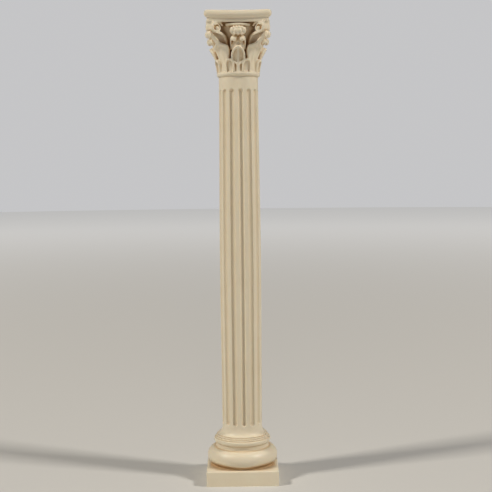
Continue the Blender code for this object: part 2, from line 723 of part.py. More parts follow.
def make_calyx(n, collection):
    """Rounded body behind the two scrolls, from the face leaf up to the flower."""
    foot = BELL_FOOT + CALYX_RISE
    top = BELL_FOOT + FLOWER_RISE
    rings = []
    for i in range(CALYX_STEPS + 1):
        share = i / CALYX_STEPS
        front = CALYX_FOOT_REACH + (SCROLL_REACH - CALYX_FOOT_REACH) * smooth(share)
        half = CALYX_HALF_WIDTH * (1 - CALYX_TAPER * share)
        level = foot + (top - foot) * share
        outline = (
            (-1.0, ROOT_REACH), (-CALYX_SHOULDER, front - SCROLL_STEM), (-CALYX_FLAT, front),
            (CALYX_FLAT, front), (CALYX_SHOULDER, front - SCROLL_STEM), (1.0, ROOT_REACH),
        )
        ring = [(half * side, -reach, level) for side, reach in outline]
        rings.append([spun(point, QUARTER * n) for point in ring])
    loft(f"calyx {n + 1}", rings, collection)


def flower_outline(scale):
    """Scalloped upper edge and a drawn-in lower edge, as (side, rise) from the flower's middle."""
    begin, end = FLOWER_ARC
    points = []
    for lobe in range(FLOWER_LOBES):
        for step, size in LOBE_POINTS:
            angle = math.radians(begin + (end - begin) * (lobe + step) / FLOWER_LOBES)
            points.append((size * math.cos(angle) / 2, size * math.sin(angle) / 2))
    points += FLOWER_FOOT
    return [(FLOWER_WIDTH * side * scale, FLOWER_HEIGHT * rise * scale) for side, rise in points]


def make_flowers(collection):
    """Lobed flower that stands on the middle of each side of the bell."""
    middle = BELL_FOOT + FLOWER_RISE
    reaches = (ROOT_REACH, FLOWER_REACH - FLOWER_SWELL, FLOWER_REACH)
    for n in range(4):
        rings = []
        for scale, reach in zip(FLOWER_SCALES, reaches):
            ring = [(side, -reach, middle + rise) for side, rise in flower_outline(scale)]
            rings.append([spun(p, QUARTER * n) for p in ring])
        loft(f"flower {n + 1}", rings, collection)


def abacus_ring(setback, height):
    """Plan of the abacus at one level: four hollow sides between cut corners."""
    half = ABACUS_SIDE / 2 - setback
    corner = half - ABACUS_CHAMFER / math.sqrt(2)
    ring = []
    for n in range(4):
        for i in range(ABACUS_SPANS + 1):
            share = 2 * i / ABACUS_SPANS - 1
            depth = half - ABACUS_HOLLOW * (1 - share * share)
            ring.append(spun((corner * share, -depth, height), QUARTER * n))
    return ring


def make_abacus(collection):
    """Abacus with a plain fascia, a groove and a thick rounded edge above."""
    foot = ABACUS_FOOT
    groove = foot + FASCIA_HEIGHT
    round_foot = groove + GROOVE_HEIGHT
    round_half = (COLUMN_TOP - round_foot) / 2
    rings = [abacus_ring(FASCIA_SETBACK, foot), abacus_ring(FASCIA_SETBACK, groove)]
    rings.append(abacus_ring(GROOVE_SETBACK, groove + GROOVE_HEIGHT * GROOVE_SHARE))
    for degrees in EDGE_TURNS:
        angle = math.radians(degrees)
        setback = (OVOLO if degrees < 0 else TOP_EDGE_ROUND) * (1 - math.cos(angle))
        rings.append(abacus_ring(setback, round_foot + round_half * (1 + math.sin(angle))))
    rings.append(abacus_ring(TOP_CORNER[0], COLUMN_TOP - TOP_CORNER[1]))
    rings.append(abacus_ring(TOP_EDGE_ROUND, COLUMN_TOP))
    loft("abacus form", rings, collection)


def combine(column, operation, forms):
    step = column.modifiers.new(forms.name, "BOOLEAN")
    step.operation = operation
    step.solver = "EXACT"
    step.operand_type = "COLLECTION"
    step.collection = forms


def merge_flat_facets(piece, angle):
    """Rejoins the flat facets that the joins above have cut up, where they turn by less than an angle."""
    tidy = piece.modifiers.new("merge flat facets", "DECIMATE")
    tidy.decimate_type = "DISSOLVE"
    tidy.angle_limit = angle


def main():
    clear_scene()
    parts = make_collection("resin column")
    flutes = make_collection("flute cutters")
    forms = make_collection("joined forms")
    carving = make_collection("capital carving")
    column = make_shaft(parts)
    make_flutes(flutes)
    make_plinth(forms)
    make_base(forms)
    bell = make_bell(forms)
    make_lips(carving)
    make_leaves(carving)
    make_volutes(carving)
    make_scrolls(carving)
    make_flowers(carving)
    make_abacus(carving)
    combine(bell, "UNION", carving)
    merge_flat_facets(bell, CARVING_ANGLE)
    combine(column, "DIFFERENCE", flutes)
    combine(column, "UNION", forms)
    merge_flat_facets(column, LEVEL_ANGLE)
    column.data.materials.append(cast_resin())


main()
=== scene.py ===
"""Looks of a small resin column: one finely carved casting, a pale floor, soft light and the camera.

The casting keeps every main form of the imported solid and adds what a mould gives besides: soft rounded edges,
leaf rims and veins, lobed flowers and smooth flutes. Sizes are metres, +Z is up and the front faces -Y.
"""

import logging
import math
from dataclasses import dataclass, field
from enum import Enum
from typing import Any, Callable, Sequence

import bmesh
import bpy
import numpy as np
from mathutils import Matrix, Vector
from mathutils.bvhtree import BVHTree


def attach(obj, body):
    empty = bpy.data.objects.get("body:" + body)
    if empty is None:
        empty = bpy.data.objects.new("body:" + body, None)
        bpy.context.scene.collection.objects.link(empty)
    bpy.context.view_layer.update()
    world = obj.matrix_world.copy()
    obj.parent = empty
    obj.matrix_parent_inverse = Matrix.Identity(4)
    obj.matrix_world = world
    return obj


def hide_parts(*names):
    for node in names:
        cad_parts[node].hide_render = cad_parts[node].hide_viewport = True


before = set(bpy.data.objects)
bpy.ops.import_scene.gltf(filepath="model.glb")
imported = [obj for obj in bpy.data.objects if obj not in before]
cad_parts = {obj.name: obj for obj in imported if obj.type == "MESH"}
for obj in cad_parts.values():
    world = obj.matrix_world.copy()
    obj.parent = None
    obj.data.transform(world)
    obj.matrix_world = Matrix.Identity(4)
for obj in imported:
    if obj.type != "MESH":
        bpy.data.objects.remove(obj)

log = logging.getLogger("resin column")

NODE = "column"
BODY = "root"
RECESS = "recess"
QUARTER = math.pi / 2
EIGHTH = math.pi / 4

Point = tuple[float, float, float]
Flat = tuple[float, float]
Shell = tuple[list[Point], list[tuple[int, ...]]]
Rows = list[tuple[Flat, float]]


class Place(Enum):
    """Where a carving stands on the capital, as the turn of its first copy in radians."""

    FACE = 0.0
    CORNER = EIGHTH
    BETWEEN = EIGHTH / 2


def linear(hex_colour: str) -> tuple[float, float, float, float]:
    """Turns an sRGB hex value into a linear colour.

    Args:
        hex_colour: Six hex digits.

    Returns:
        Red, green, blue and alpha for a shader socket.
    """
    parts = [int(hex_colour[i : i + 2], 16) / 255 for i in (0, 2, 4)]
    red, green, blue = (c / 12.92 if c <= 0.04045 else ((c + 0.055) / 1.055) ** 2.4 for c in parts)
    return red, green, blue, 1.0


def add_node(tree: bpy.types.NodeTree, kind: str, settings: dict[str, Any] | None = None,
             feeds: dict[Any, Any] | None = None) -> bpy.types.Node:
    """Adds a node, sets it up and feeds its inputs.

    Args:
        tree: Node tree that gets the node.
        kind: Blender's type name of the node.
        settings: Attribute values of the node.
        feeds: Input name or number to a value, or to the output socket that feeds it.

    Returns:
        The new node.
    """
    node = tree.nodes.new(kind)
    for name, value in (settings or {}).items():
        setattr(node, name, value)
    for key, value in (feeds or {}).items():
        if isinstance(value, bpy.types.NodeSocket):
            tree.links.new(value, node.inputs[key])
        else:
            node.inputs[key].default_value = value
    return node


def smooth(t: float) -> float:
    """Eases a share from 0 to 1, held at both ends."""
    t = min(max(t, 0.0), 1.0)
    return t * t * (3 - 2 * t)


def bezier(p0: Flat, p1: Flat, p2: Flat, p3: Flat, t: float) -> Flat:
    """Gives the point of a cubic curve at the share t of its run."""
    s = 1 - t
    a, b, c, d = s ** 3, 3 * s * s * t, 3 * s * t * t, t ** 3
    return a * p0[0] + b * p1[0] + c * p2[0] + d * p3[0], a * p0[1] + b * p1[1] + c * p2[1] + d * p3[1]


def linked(name: str, data: bpy.types.ID) -> bpy.types.Object:
    """Makes an object of a mesh, a light or a camera and links it to the scene."""
    piece = bpy.data.objects.new(name, data)
    bpy.context.scene.collection.objects.link(piece)
    return piece


def meshed(name: str, shape: bmesh.types.BMesh) -> bpy.types.Object:
    """Turns a bmesh into an object and frees it.

    Args:
        name: Name of the object and its mesh.
        shape: The bmesh, which is used up.

    Returns:
        The object, linked to the scene.
    """
    mesh = bpy.data.meshes.new(name)
    shape.to_mesh(mesh)
    shape.free()
    return linked(name, mesh)


def lofted(rings: Sequence[Sequence[Point]]) -> Shell:
    """Skins equal rings into one closed shell with a cap at each end.

    Args:
        rings: Rings of the same number of points.

    Returns:
        The points and the faces.
    """
    count = len(rings[0])
    points = [p for ring in rings for p in ring]
    faces: list[tuple[int, ...]] = []
    for row in range(len(rings) - 1):
        low, high = row * count, (row + 1) * count
        for i in range(count):
            j = (i + 1) % count
            faces.append((low + i, low + j, high + j, high + i))
    faces.append(tuple(reversed(range(count))))
    last = (len(rings) - 1) * count
    faces.append(tuple(last + i for i in range(count)))
    return points, faces


def joined(name: str, shells: Sequence[Shell]) -> bpy.types.Object:
    """Makes one object of closed shells, with doubles merged and faces turned outwards.

    Args:
        name: Name of the object.
        shells: Points and faces of each shell, numbered from 0 in each.

    Returns:
        The object.
    """
    points: list[Point] = []
    faces: list[tuple[int, ...]] = []
    for shell_points, shell_faces in shells:
        start = len(points)
        points += shell_points
        faces += [tuple(start + i for i in face) for face in shell_faces]
    raw = bpy.data.meshes.new("raw")
    raw.from_pydata(points, [], faces)
    shape = bmesh.new()
    shape.from_mesh(raw)
    bpy.data.meshes.remove(raw)
    bmesh.ops.remove_doubles(shape, verts=shape.verts, dist=1e-6)
    bmesh.ops.recalc_face_normals(shape, faces=shape.faces)
    return meshed(name, shape)


def turned(name: str, profile: Sequence[Flat], sides: int, turn: float = 0.0) -> bpy.types.Object:
    """Turns a profile round the axis into a closed body.

    Args:
        name: Name of the object.
        profile: Points as radius and height, from the top down.
        sides: Number of columns round it.
        turn: Angle of the first column.

    Returns:
        The object.
    """
    angles = [turn + 2 * math.pi * i / sides for i in range(sides)]
    rings = [[(r * math.cos(a), r * math.sin(a), z) for a in angles] for r, z in reversed(profile)]
    return joined(name, [lofted(rings)])


def directions(line: np.ndarray) -> np.ndarray:
    """Gives the unit direction of a line at each of its points."""
    ahead = np.gradient(line, axis=0)
    return ahead / np.linalg.norm(ahead, axis=1)[:, None]


def ball(centre: Point, radii: Point, rings: int = 10, sides: int = 16) -> Shell:
    """Makes a rounded lump.

    Args:
        centre: Its middle.
        radii: Its half sizes along X, Y and Z.
        rings: Rings from pole to pole.
        sides: Points round each ring.

    Returns:
        Points and faces of the shell.
    """
    rows = []
    for i in range(rings + 1):
        tilt = math.pi * (0.03 + 0.94 * i / rings)
        row = []
        for k in range(sides):
            turn = 2 * math.pi * k / sides
            row.append((
                centre[0] + radii[0] * math.sin(tilt) * math.cos(turn),
                centre[1] + radii[1] * math.sin(tilt) * math.sin(turn),
                centre[2] - radii[2] * math.cos(tilt),
            ))
        rows.append(row)
    return lofted(rows)


def softened(profile: Sequence[Flat], spacing: float, passes: int) -> list[Flat]:
    """Resamples a profile at an even spacing and rounds its corners, with its ends kept.

    Args:
        profile: Points of the profile.
        spacing: Distance between the new points.
        passes: Rounds of averaging with the neighbours.

    Returns:
        The softened profile.
    """
    raw = np.array(profile, float)
    run = np.concatenate([[0.0], np.cumsum(np.linalg.norm(np.diff(raw, axis=0), axis=1))])
    stations = np.linspace(0.0, run[-1], max(int(run[-1] / spacing), 2))
    line = np.stack([np.interp(stations, run, raw[:, i]) for i in range(2)], axis=1)
    for _ in range(passes):
        line[1:-1] = (line[:-2] + 2 * line[1:-1] + line[2:]) / 4
    return [(float(r), float(z)) for r, z in line]


def half_round(centre: Flat, bulge: float, half_height: float, spans: int) -> list[Flat]:
    """Gives a round moulding from its top to its bottom.

    Args:
        centre: Radius and height of its middle.
        bulge: How far it stands out.
        half_height: Half its height.
        spans: Number of stretches.

    Returns:
        Points as radius and height.
    """
    angles = [QUARTER - math.pi * i / spans for i in range(spans + 1)]
    return [(centre[0] + bulge * math.cos(a), centre[1] + half_height * math.sin(a)) for a in angles]


def apply_modifiers(piece: bpy.types.Object) -> bpy.types.Object:
    """Turns what an object's modifiers make into its own plain mesh.

    Args:
        piece: Object with live modifiers.

    Returns:
        The same object, with none.
    """
    graph = bpy.context.evaluated_depsgraph_get()
    mesh = bpy.data.meshes.new_from_object(piece.evaluated_get(graph), depsgraph=graph)
    piece.modifiers.clear()
    old = piece.data
    piece.data = mesh
    bpy.data.meshes.remove(old)
    return piece


def start_tree(name: str, source: str, kinds: dict[str, str],
               result: str) -> tuple[bpy.types.NodeTree, dict[str, str]]:
    """Starts a Geometry Nodes tree with named inputs.

    Args:
        name: Name of the tree.
        source: Name of the geometry that goes in.
        kinds: Name of each other input to the kind of its socket.
        result: Name of the geometry that comes out.

    Returns:
        The tree and the identifiers of its inputs.
    """
    tree = bpy.data.node_groups.new(name, "GeometryNodeTree")
    face = tree.interface
    face.new_socket(source, in_out="INPUT", socket_type="NodeSocketGeometry")
    sockets = {}
    for label, kind in kinds.items():
        sockets[label] = face.new_socket(label, in_out="INPUT", socket_type="NodeSocket" + kind).identifier
    face.new_socket(result, in_out="OUTPUT", socket_type="NodeSocketGeometry")
    return tree, sockets


def end_tree(tree: bpy.types.NodeTree, shape: bpy.types.NodeSocket, finish: bpy.types.NodeSocket) -> None:
    """Ends a tree in real geometry that wears its finish.

    Args:
        tree: The tree.
        shape: Output with the geometry.
        finish: Output with the material.
    """
    real = add_node(tree, "GeometryNodeRealizeInstances", None, {"Geometry": shape})
    dressed = add_node(tree, "GeometryNodeSetMaterial", None, {
        "Geometry": real.outputs[0], "Material": finish})
    add_node(tree, "NodeGroupOutput", None, {0: dressed.outputs[0]})


def run_tree(piece: bpy.types.Object, tree: bpy.types.NodeTree, sockets: dict[str, str],
             values: dict[str, Any]) -> bpy.types.Object:
    """Runs a tree on an object and keeps the result as its plain mesh.

    Args:
        piece: Object whose mesh goes in.
        tree: The tree.
        sockets: Identifiers of the tree's inputs.
        values: Name of each input to its value.

    Returns:
        The same object.
    """
    step = piece.modifiers.new(tree.name, "NODES")
    step.node_group = tree
    for label, value in values.items():
        step[sockets[label]] = value
    return apply_modifiers(piece)


def triangles(piece: bpy.types.Object) -> int:
    """Counts the triangles that an object's faces make."""
    return sum(len(face.vertices) - 2 for face in piece.data.polygons)


@dataclass(frozen=True)
class Courses:
    """Heights of the courses, from the ground up, in metres."""

    plinth: float = 0.0078
    lower_torus: float = 0.0091
    scotia: float = 0.0017
    upper_torus: float = 0.0042
    cincture: float = 0.0012
    shaft: float = 0.1849
    astragal: float = 0.0025
    bell: float = 0.0238
    abacus: float = 0.0058

    @property
    def scotia_foot(self) -> float:
        """Level where the large torus ends."""
        return self.plinth + self.lower_torus

    @property
    def upper_torus_foot(self) -> float:
        """Level where the small torus starts."""
        return self.scotia_foot + self.scotia

    @property
    def shaft_foot(self) -> float:
        """Level where the shaft starts."""
        return self.upper_torus_foot + self.upper_torus + self.cincture

    @property
    def astragal_foot(self) -> float:
        """Level where the shaft ends and the astragal starts."""
        return self.shaft_foot + self.shaft

    @property
    def bell_foot(self) -> float:
        """Level where the bell and the leaves start."""
        return self.astragal_foot + self.astragal

    @property
    def abacus_foot(self) -> float:
        """Level of the underside of the abacus."""
        return self.bell_foot + self.bell

    @property
    def top(self) -> float:
        """Level of the top of the column."""
        return self.abacus_foot + self.abacus


@dataclass(frozen=True)
class CastResin:
    """Cream polyester resin, poured in a rubber mould.

    The mould gives soft edges and a satin skin with a faint waviness. The resin lets a little light in, so
    thin rims glow. Painted shade darkens the closed-in places, honey where they start and umber at the deepest.
    """

    cream: str = "E9DBBF"
    ivory: str = "F1E7D0"
    shade_honey: str = "C09658"
    shade_umber: str = "8C5226"
    roughness_low: float = 0.36
    roughness_high: float = 0.52
    cloud_mm: float = 14.0
    grain_mm: float = 0.55
    wave_mm: float = 3.2
    light_depth_mm: float = 0.8
    painted_shade_range: Flat = (0.07, 0.52)
    painted_shade_most: float = 0.78
    painted_deep_shade_range: Flat = (0.42, 0.82)
    painted_deep_shade_most: float = 0.88
    wave_range: Flat = (0.3, 0.7)
    grain_height: float = 0.00003
    wave_height: float = 0.00012
    ior: float = 1.52

    def material(self) -> bpy.types.Material:
        """Builds the material.

        Returns:
            The material, named for what it is.
        """
        made = bpy.data.materials.new("cream cast polyester resin")
        made.use_nodes = True
        tree = made.node_tree
        tree.nodes.clear()
        where = add_node(tree, "ShaderNodeTexCoord").outputs["Object"]
        recess = add_node(tree, "ShaderNodeAttribute", {"attribute_name": RECESS}).outputs["Fac"]
        # Noise scales are one over the size of a patch in metres
        clouds, grain, wave = [add_node(tree, "ShaderNodeTexNoise", None, {
            "Vector": where, "Scale": 1000 / patch, "Detail": detail, "Roughness": rough}).outputs["Fac"]
            for patch, detail, rough in (
                (self.cloud_mm, 3.0, 0.55), (self.grain_mm, 2.0, 0.6), (self.wave_mm, 2.0, 0.5))]
        colour = add_node(tree, "ShaderNodeMix", {"data_type": "RGBA"}, {
            0: clouds, 6: linear(self.cream), 7: linear(self.ivory)}).outputs[2]
        # Painted shade: honey where the surface starts to close in, and umber at the bottom of the carving
        for shade_tone, (first, full), most in ((self.shade_honey, self.painted_shade_range, self.painted_shade_most),
                                           (self.shade_umber, self.painted_deep_shade_range, self.painted_deep_shade_most)):
            share = add_node(tree, "ShaderNodeMapRange", {"interpolation_type": "SMOOTHSTEP"}, {
                "Value": recess, "From Min": first, "From Max": full, "To Min": 0.0, "To Max": most})
            colour = add_node(tree, "ShaderNodeMix", {"data_type": "RGBA"}, {
                0: share.outputs["Result"], 6: colour, 7: linear(shade_tone)}).outputs[2]
        gloss = add_node(tree, "ShaderNodeMapRange", None, {
            "Value": wave, "From Min": self.wave_range[0], "From Max": self.wave_range[1],
            "To Min": self.roughness_low, "To Max": self.roughness_high})
        skin = add_node(tree, "ShaderNodeBump", None, {
            "Strength": 0.35, "Distance": self.grain_height, "Height": grain})
        swell = add_node(tree, "ShaderNodeBump", None, {
            "Strength": 0.5, "Distance": self.wave_height, "Height": wave, "Normal": skin.outputs["Normal"]})
        shader = add_node(tree, "ShaderNodeBsdfPrincipled", None, {
            "Base Color": colour, "Roughness": gloss.outputs["Result"], "Normal": swell.outputs["Normal"],
            "IOR": self.ior, "Metallic": 0.0, "Subsurface Weight": 0.15,
            "Subsurface Radius": (1.0, 0.76, 0.50), "Subsurface Scale": self.light_depth_mm / 1000})
        add_node(tree, "ShaderNodeOutputMaterial", None, {"Surface": shader.outputs["BSDF"]})
        return made


@dataclass(frozen=True)
class StudioPaper:
    """Matt off-white paper under the column. It gives a plain pale floor with a soft contact shadow."""

    tone: str = "D6D5D2"
    roughness: float = 0.9
    specular: float = 0.2
    plain_radius: float = 0.1
    glow_radius: float = 2.6
    glow: float = 0.38

    def material(self) -> bpy.types.Material:
        """Builds the material of the floor."""
        made = bpy.data.materials.new("off-white matt paper")
        made.use_nodes = True
        tree = made.node_tree
        shader = tree.nodes["Principled BSDF"]
        shader.inputs["Base Color"].default_value = linear(self.tone)
        shader.inputs["Roughness"].default_value = self.roughness
        shader.inputs["Specular IOR Level"].default_value = self.specular
        # Painted light: far from the column the paper glows, brightening into the pale wall as a lit sweep
        # would
        where = add_node(tree, "ShaderNodeTexCoord").outputs["Object"]
        away = add_node(tree, "ShaderNodeVectorMath", {"operation": "LENGTH"}, {0: where}).outputs["Value"]
        glow = add_node(tree, "ShaderNodeMapRange", {"interpolation_type": "SMOOTHSTEP"}, {
            "Value": away, "From Min": self.plain_radius, "From Max": self.glow_radius,
            "To Min": 0.0, "To Max": self.glow})
        shader.inputs["Emission Color"].default_value = linear("FFFFFF")
        tree.links.new(glow.outputs["Result"], shader.inputs["Emission Strength"])
        return made


@dataclass
class RingTool:
    """Geometry Nodes tree that repeats a carving round the column's axis."""

    material: bpy.types.Material
    tree: bpy.types.NodeTree = field(init=False)
    sockets: dict[str, str] = field(init=False)

    def __post_init__(self) -> None:
        """Builds the tree once for all carvings."""
        tree, self.sockets = start_tree("carvings in a ring", "Carving", {
            "Copies": "Int", "First Turn": "Float", "Finish": "Material"}, "Ring")
        given = add_node(tree, "NodeGroupInput").outputs
        places = add_node(tree, "GeometryNodePoints", None, {"Count": given["Copies"]})
        number = add_node(tree, "GeometryNodeInputIndex").outputs[0]
        step = add_node(tree, "ShaderNodeMath", {"operation": "DIVIDE"}, {0: 2 * math.pi, 1: given["Copies"]})
        turn = add_node(tree, "ShaderNodeMath", {"operation": "MULTIPLY_ADD"}, {
            0: number, 1: step.outputs[0], 2: given["First Turn"]})
        spin = add_node(tree, "FunctionNodeAxisAngleToRotation", None, {
            "Axis": (0.0, 0.0, 1.0), "Angle": turn.outputs[0]})
        copies = add_node(tree, "GeometryNodeInstanceOnPoints", None, {
            "Points": places.outputs[0], "Instance": given["Carving"], "Rotation": spin.outputs[0]})
        end_tree(tree, copies.outputs[0], given["Finish"])
        self.tree = tree

    def ring(self, carving: bpy.types.Object, copies: int, place: Place) -> bpy.types.Object:
        """Repeats a carving that was made at the front.

        Args:
            carving: Object with the carving's mesh.
            copies: How many stand round the column.
            place: Where the first one stands.

        Returns:
            The object with all copies as one plain mesh.
        """
        log.info("%s: %d copies", carving.name, copies)
        return run_tree(carving, self.tree, self.sockets, {
            "Copies": copies, "First Turn": place.value, "Finish": self.material})


@dataclass
class TurnedStem:
    """Base mouldings and shaft, turned in one blank and then fluted."""

    courses: Courses
    material: bpy.types.Material
    lower_torus_radius: float = 0.0183
    lower_torus_bulge: float = 0.0042
    scotia_radius: float = 0.0137
    upper_torus_radius: float = 0.0148
    upper_torus_bulge: float = 0.0023
    fillet_radius: float = 0.0164
    fillet_height: float = 0.0010
    ring_radii: tuple[float, ...] = (0.01285, 0.01345, 0.01400)
    ring_height: float = 0.00078
    ring_groove: float = 0.00015
    flare_foot_radius: float = 0.0123
    flare_height: float = 0.0042
    foot_radius: float = 0.01036
    belly_radius: float = 0.01071
    head_radius: float = 0.01005
    belly_share: float = 0.44
    flutes: int = 14
    flute_width: float = 0.00255
    flute_depth: float = 0.00105
    foot_gap: float = 0.0007
    head_gap: float = 0.0064
    turn: float = math.radians(5.5)
    arris: float = 0.00016
    overlap: float = 0.0006
    columns_per_flute: int = 14
    flare_spans: int = 8
    torus_spans: int = 36
    scotia_rests: Flat = (0.20, 0.25)
    fillet_clear: float = 1.15
    close_share: float = 1.1
    end_margin: float = 0.0003
    head_rows: Flat = (0.0012, 0.0006)
    plain_rows: int = 5
    close_rows: int = 15
    run_rows: int = 44
    row_spacing: float = 0.00016
    rounding_passes: int = 2

    @property
    def flute_foot(self) -> float:
        """Level of the lower ends of the flutes."""
        return self.courses.shaft_foot + self.flare_height + self.foot_gap

    @property
    def flute_head(self) -> float:
        """Level of the upper ends of the flutes."""
        return self.courses.astragal_foot - self.head_gap

    def radius(self, height: float) -> float:
        """Radius of the plain shaft at a height, with its slight swell."""
        c = self.courses
        share = (height - c.shaft_foot - self.flare_height) / (c.shaft - self.flare_height)
        if share < self.belly_share:
            swell = smooth(share / self.belly_share)
            return self.foot_radius + (self.belly_radius - self.foot_radius) * swell
        blend = smooth((share - self.belly_share) / (1 - self.belly_share))
        return self.belly_radius + (self.head_radius - self.belly_radius) * blend

    def base_profile(self) -> list[Flat]:
        """Gives the mouldings from the foot of the shaft down into the plinth."""
        c = self.courses
        line: list[Flat] = []
        flare_top = c.shaft_foot + self.flare_height
        width = self.flare_foot_radius - self.foot_radius
        for i in range(self.flare_spans + 1):
            angle = QUARTER * i / self.flare_spans
            line.append((self.foot_radius + width * (1 - math.cos(angle)),
                         flare_top - self.flare_height * math.sin(angle)))
        level = c.shaft_foot
        for radius in self.ring_radii:
            low = level - self.ring_height
            line += [(radius, level), (radius, low + self.ring_groove), (radius - self.ring_groove, low)]
            level = low
        middle = (self.upper_torus_radius - self.upper_torus_bulge, c.upper_torus_foot + c.upper_torus / 2)
        torus = half_round(middle, self.upper_torus_bulge, c.upper_torus / 2, self.torus_spans)
        line += [(r, z) for r, z in torus if z < level and (z > middle[1] or r > self.scotia_radius)]
        low_rest, high_rest = self.scotia_rests
        line += [(self.scotia_radius, c.upper_torus_foot - c.scotia * high_rest),
                 (self.scotia_radius, c.scotia_foot + c.scotia * low_rest)]
        middle = (self.lower_torus_radius - self.lower_torus_bulge, c.plinth + c.lower_torus / 2)
        torus = half_round(middle, self.lower_torus_bulge, c.lower_torus / 2, self.torus_spans)
        line += [(r, z) for r, z in torus if z > c.plinth + self.fillet_height * self.fillet_clear]
        line += [(self.fillet_radius, c.plinth + self.fillet_height),
                 (self.fillet_radius, c.plinth - self.overlap)]
        return line

    def shaft_profile(self) -> list[Flat]:
        """Gives the shaft from inside the astragal down to the flare, with close rows at the flutes' ends."""
        c = self.courses
        foot, head = self.flute_foot, self.flute_head
        reach = self.flute_width * self.close_share
        below_ring, above_flutes = self.head_rows
        levels = [c.astragal_foot + self.overlap * 2, c.astragal_foot]
        levels += list(np.linspace(c.astragal_foot - below_ring, head + above_flutes, self.plain_rows))
        levels += list(np.linspace(head + self.end_margin, head - reach, self.close_rows))
        levels += list(np.linspace(head - reach, foot + reach, self.run_rows)[1:-1])
        levels += list(np.linspace(foot + reach, foot - self.end_margin, self.close_rows))
        return [(self.radius(z), float(z)) for z in levels]

    def blank(self) -> bpy.types.Object:
        """Turns the profile round the axis into a closed blank."""
        base = softened(self.base_profile(), self.row_spacing, self.rounding_passes)
        sides = self.flutes * self.columns_per_flute
        return turned("stem", self.shaft_profile() + base, sides, self.turn - QUARTER)

    def flute_tree(self) -> tuple[bpy.types.NodeTree, dict[str, str]]:
        """Builds the tree that sinks round-ended flutes into the blank.

        Returns:
            The tree and the identifiers of its inputs.
        """
        labels = ("Width", "Depth", "Foot", "Head", "Turn", "Arris")
        kinds = {"Flutes": "Int", **dict.fromkeys(labels, "Float"), "Finish": "Material"}
        tree, sockets = start_tree("flutes", "Blank", kinds, "Stem")
        given = add_node(tree, "NodeGroupInput").outputs
        spot = add_node(tree, "ShaderNodeSeparateXYZ", None, {
            0: add_node(tree, "GeometryNodeInputPosition").outputs[0]}).outputs
        outward = add_node(tree, "ShaderNodeCombineXYZ", None, {0: spot["X"], 1: spot["Y"]}).outputs[0]
        reach = add_node(tree, "ShaderNodeVectorMath", {"operation": "LENGTH"}, {0: outward}).outputs["Value"]
        known: dict[Any, Any] = {label: given[label] for label in ("Flutes", *labels)}
        known.update({axis: spot[axis] for axis in "XYZ"}, reach=reach)
        # Each step names a sum, its operation and its terms, which are numbers or the names of earlier sums
        steps: tuple[tuple[Any, ...], ...] = (
            # Distance to the nearest flute's middle line, sideways and past its ends
            ("half pitch", "DIVIDE", math.pi, "Flutes"),
            ("bearing", "ARCTAN2", "Y", "X"),
            ("angle", "SUBTRACT", "bearing", "Turn"),
            ("lowest", "MULTIPLY", "half pitch", -1.0),
            ("away", "WRAP", "angle", "half pitch", "lowest"),
            ("sideways", "MULTIPLY", "away", "reach"),
            ("ends", "ADD", "Foot", "Head"),
            ("middle", "MULTIPLY", "ends", 0.5),
            ("length", "SUBTRACT", "Head", "Foot"),
            ("straight", "SUBTRACT", "length", "Width"),
            ("run", "MULTIPLY", "straight", 0.5),
            ("climb", "SUBTRACT", "Z", "middle"),
            ("off", "ABSOLUTE", "climb"),
            ("beyond", "SUBTRACT", "off", "run"),
            ("past", "MAXIMUM", "beyond", 0.0),
            ("past squared", "MULTIPLY", "past", "past"),
            ("apart", "MULTIPLY_ADD", "sideways", "sideways", "past squared"),
            # Round groove of the given width and depth
            ("width squared", "MULTIPLY", "Width", "Width"),
            ("half width squared", "MULTIPLY", "width squared", 0.25),
            ("both", "MULTIPLY_ADD", "Depth", "Depth", "half width squared"),
            ("twice the depth", "MULTIPLY", "Depth", 2.0),
            ("round", "DIVIDE", "both", "twice the depth"),
            ("round squared", "MULTIPLY", "round", "round"),
            ("inside", "SUBTRACT", "round squared", "apart"),
            ("rest", "MAXIMUM", "inside", 0.0),
            ("drop", "SQRT", "rest"),
            ("clear", "SUBTRACT", "round", "Depth"),
            ("sunk", "SUBTRACT", "drop", "clear"),
            ("cut", "SMOOTH_MAX", "sunk", 0.0, "Arris"),
            ("shift", "MULTIPLY", "cut", -1.0),
        )
        for label, operation, *terms in steps:
            known[label] = add_node(tree, "ShaderNodeMath", {"operation": operation}, {
                i: known.get(term, term) for i, term in enumerate(terms)}).outputs[0]
        unit = add_node(tree, "ShaderNodeVectorMath", {"operation": "NORMALIZE"}, {0: outward}).outputs[0]
        shift = add_node(tree, "ShaderNodeVectorMath", {"operation": "SCALE"}, {
            0: unit, "Scale": known["shift"]}).outputs[0]
        moved = add_node(tree, "GeometryNodeSetPosition", None, {"Geometry": given["Blank"], "Offset": shift})
        end_tree(tree, moved.outputs[0], given["Finish"])
        return tree, sockets

    def build(self) -> bpy.types.Object:
        """Makes the fluted stem.

        Returns:
            A closed object from inside the plinth to inside the astragal.
        """
        stem = self.blank()
        tree, sockets = self.flute_tree()
        run_tree(stem, tree, sockets, {
            "Flutes": self.flutes, "Width": self.flute_width, "Depth": self.flute_depth,
            "Foot": self.flute_foot, "Head": self.flute_head, "Turn": self.turn - QUARTER,
            "Arris": self.arris, "Finish": self.material})
        log.info("stem: %d faces", len(stem.data.polygons))
        return stem


@dataclass
class Plinth:
    """Square block under the base, with softened upright and top edges."""

    courses: Courses
    side: float = 0.0371
    edge_round: float = 0.0007
    segments: int = 4

    def build(self) -> bpy.types.Object:
        """Makes the block, its underside flat on the ground."""
        shape = bmesh.new()
        bmesh.ops.create_cube(shape, size=1.0)
        bmesh.ops.scale(shape, vec=(self.side, self.side, self.courses.plinth), verts=shape.verts)
        bmesh.ops.translate(shape, vec=(0, 0, self.courses.plinth / 2), verts=shape.verts)
        soft = [e for e in shape.edges if max(v.co.z for v in e.verts) > self.courses.plinth / 2]
        bmesh.ops.bevel(shape, geom=soft, offset=self.edge_round, segments=self.segments, profile=0.5,
                        affect="EDGES")
        block = meshed("plinth", shape)
        log.info("plinth: %d faces", len(block.data.polygons))
        return block


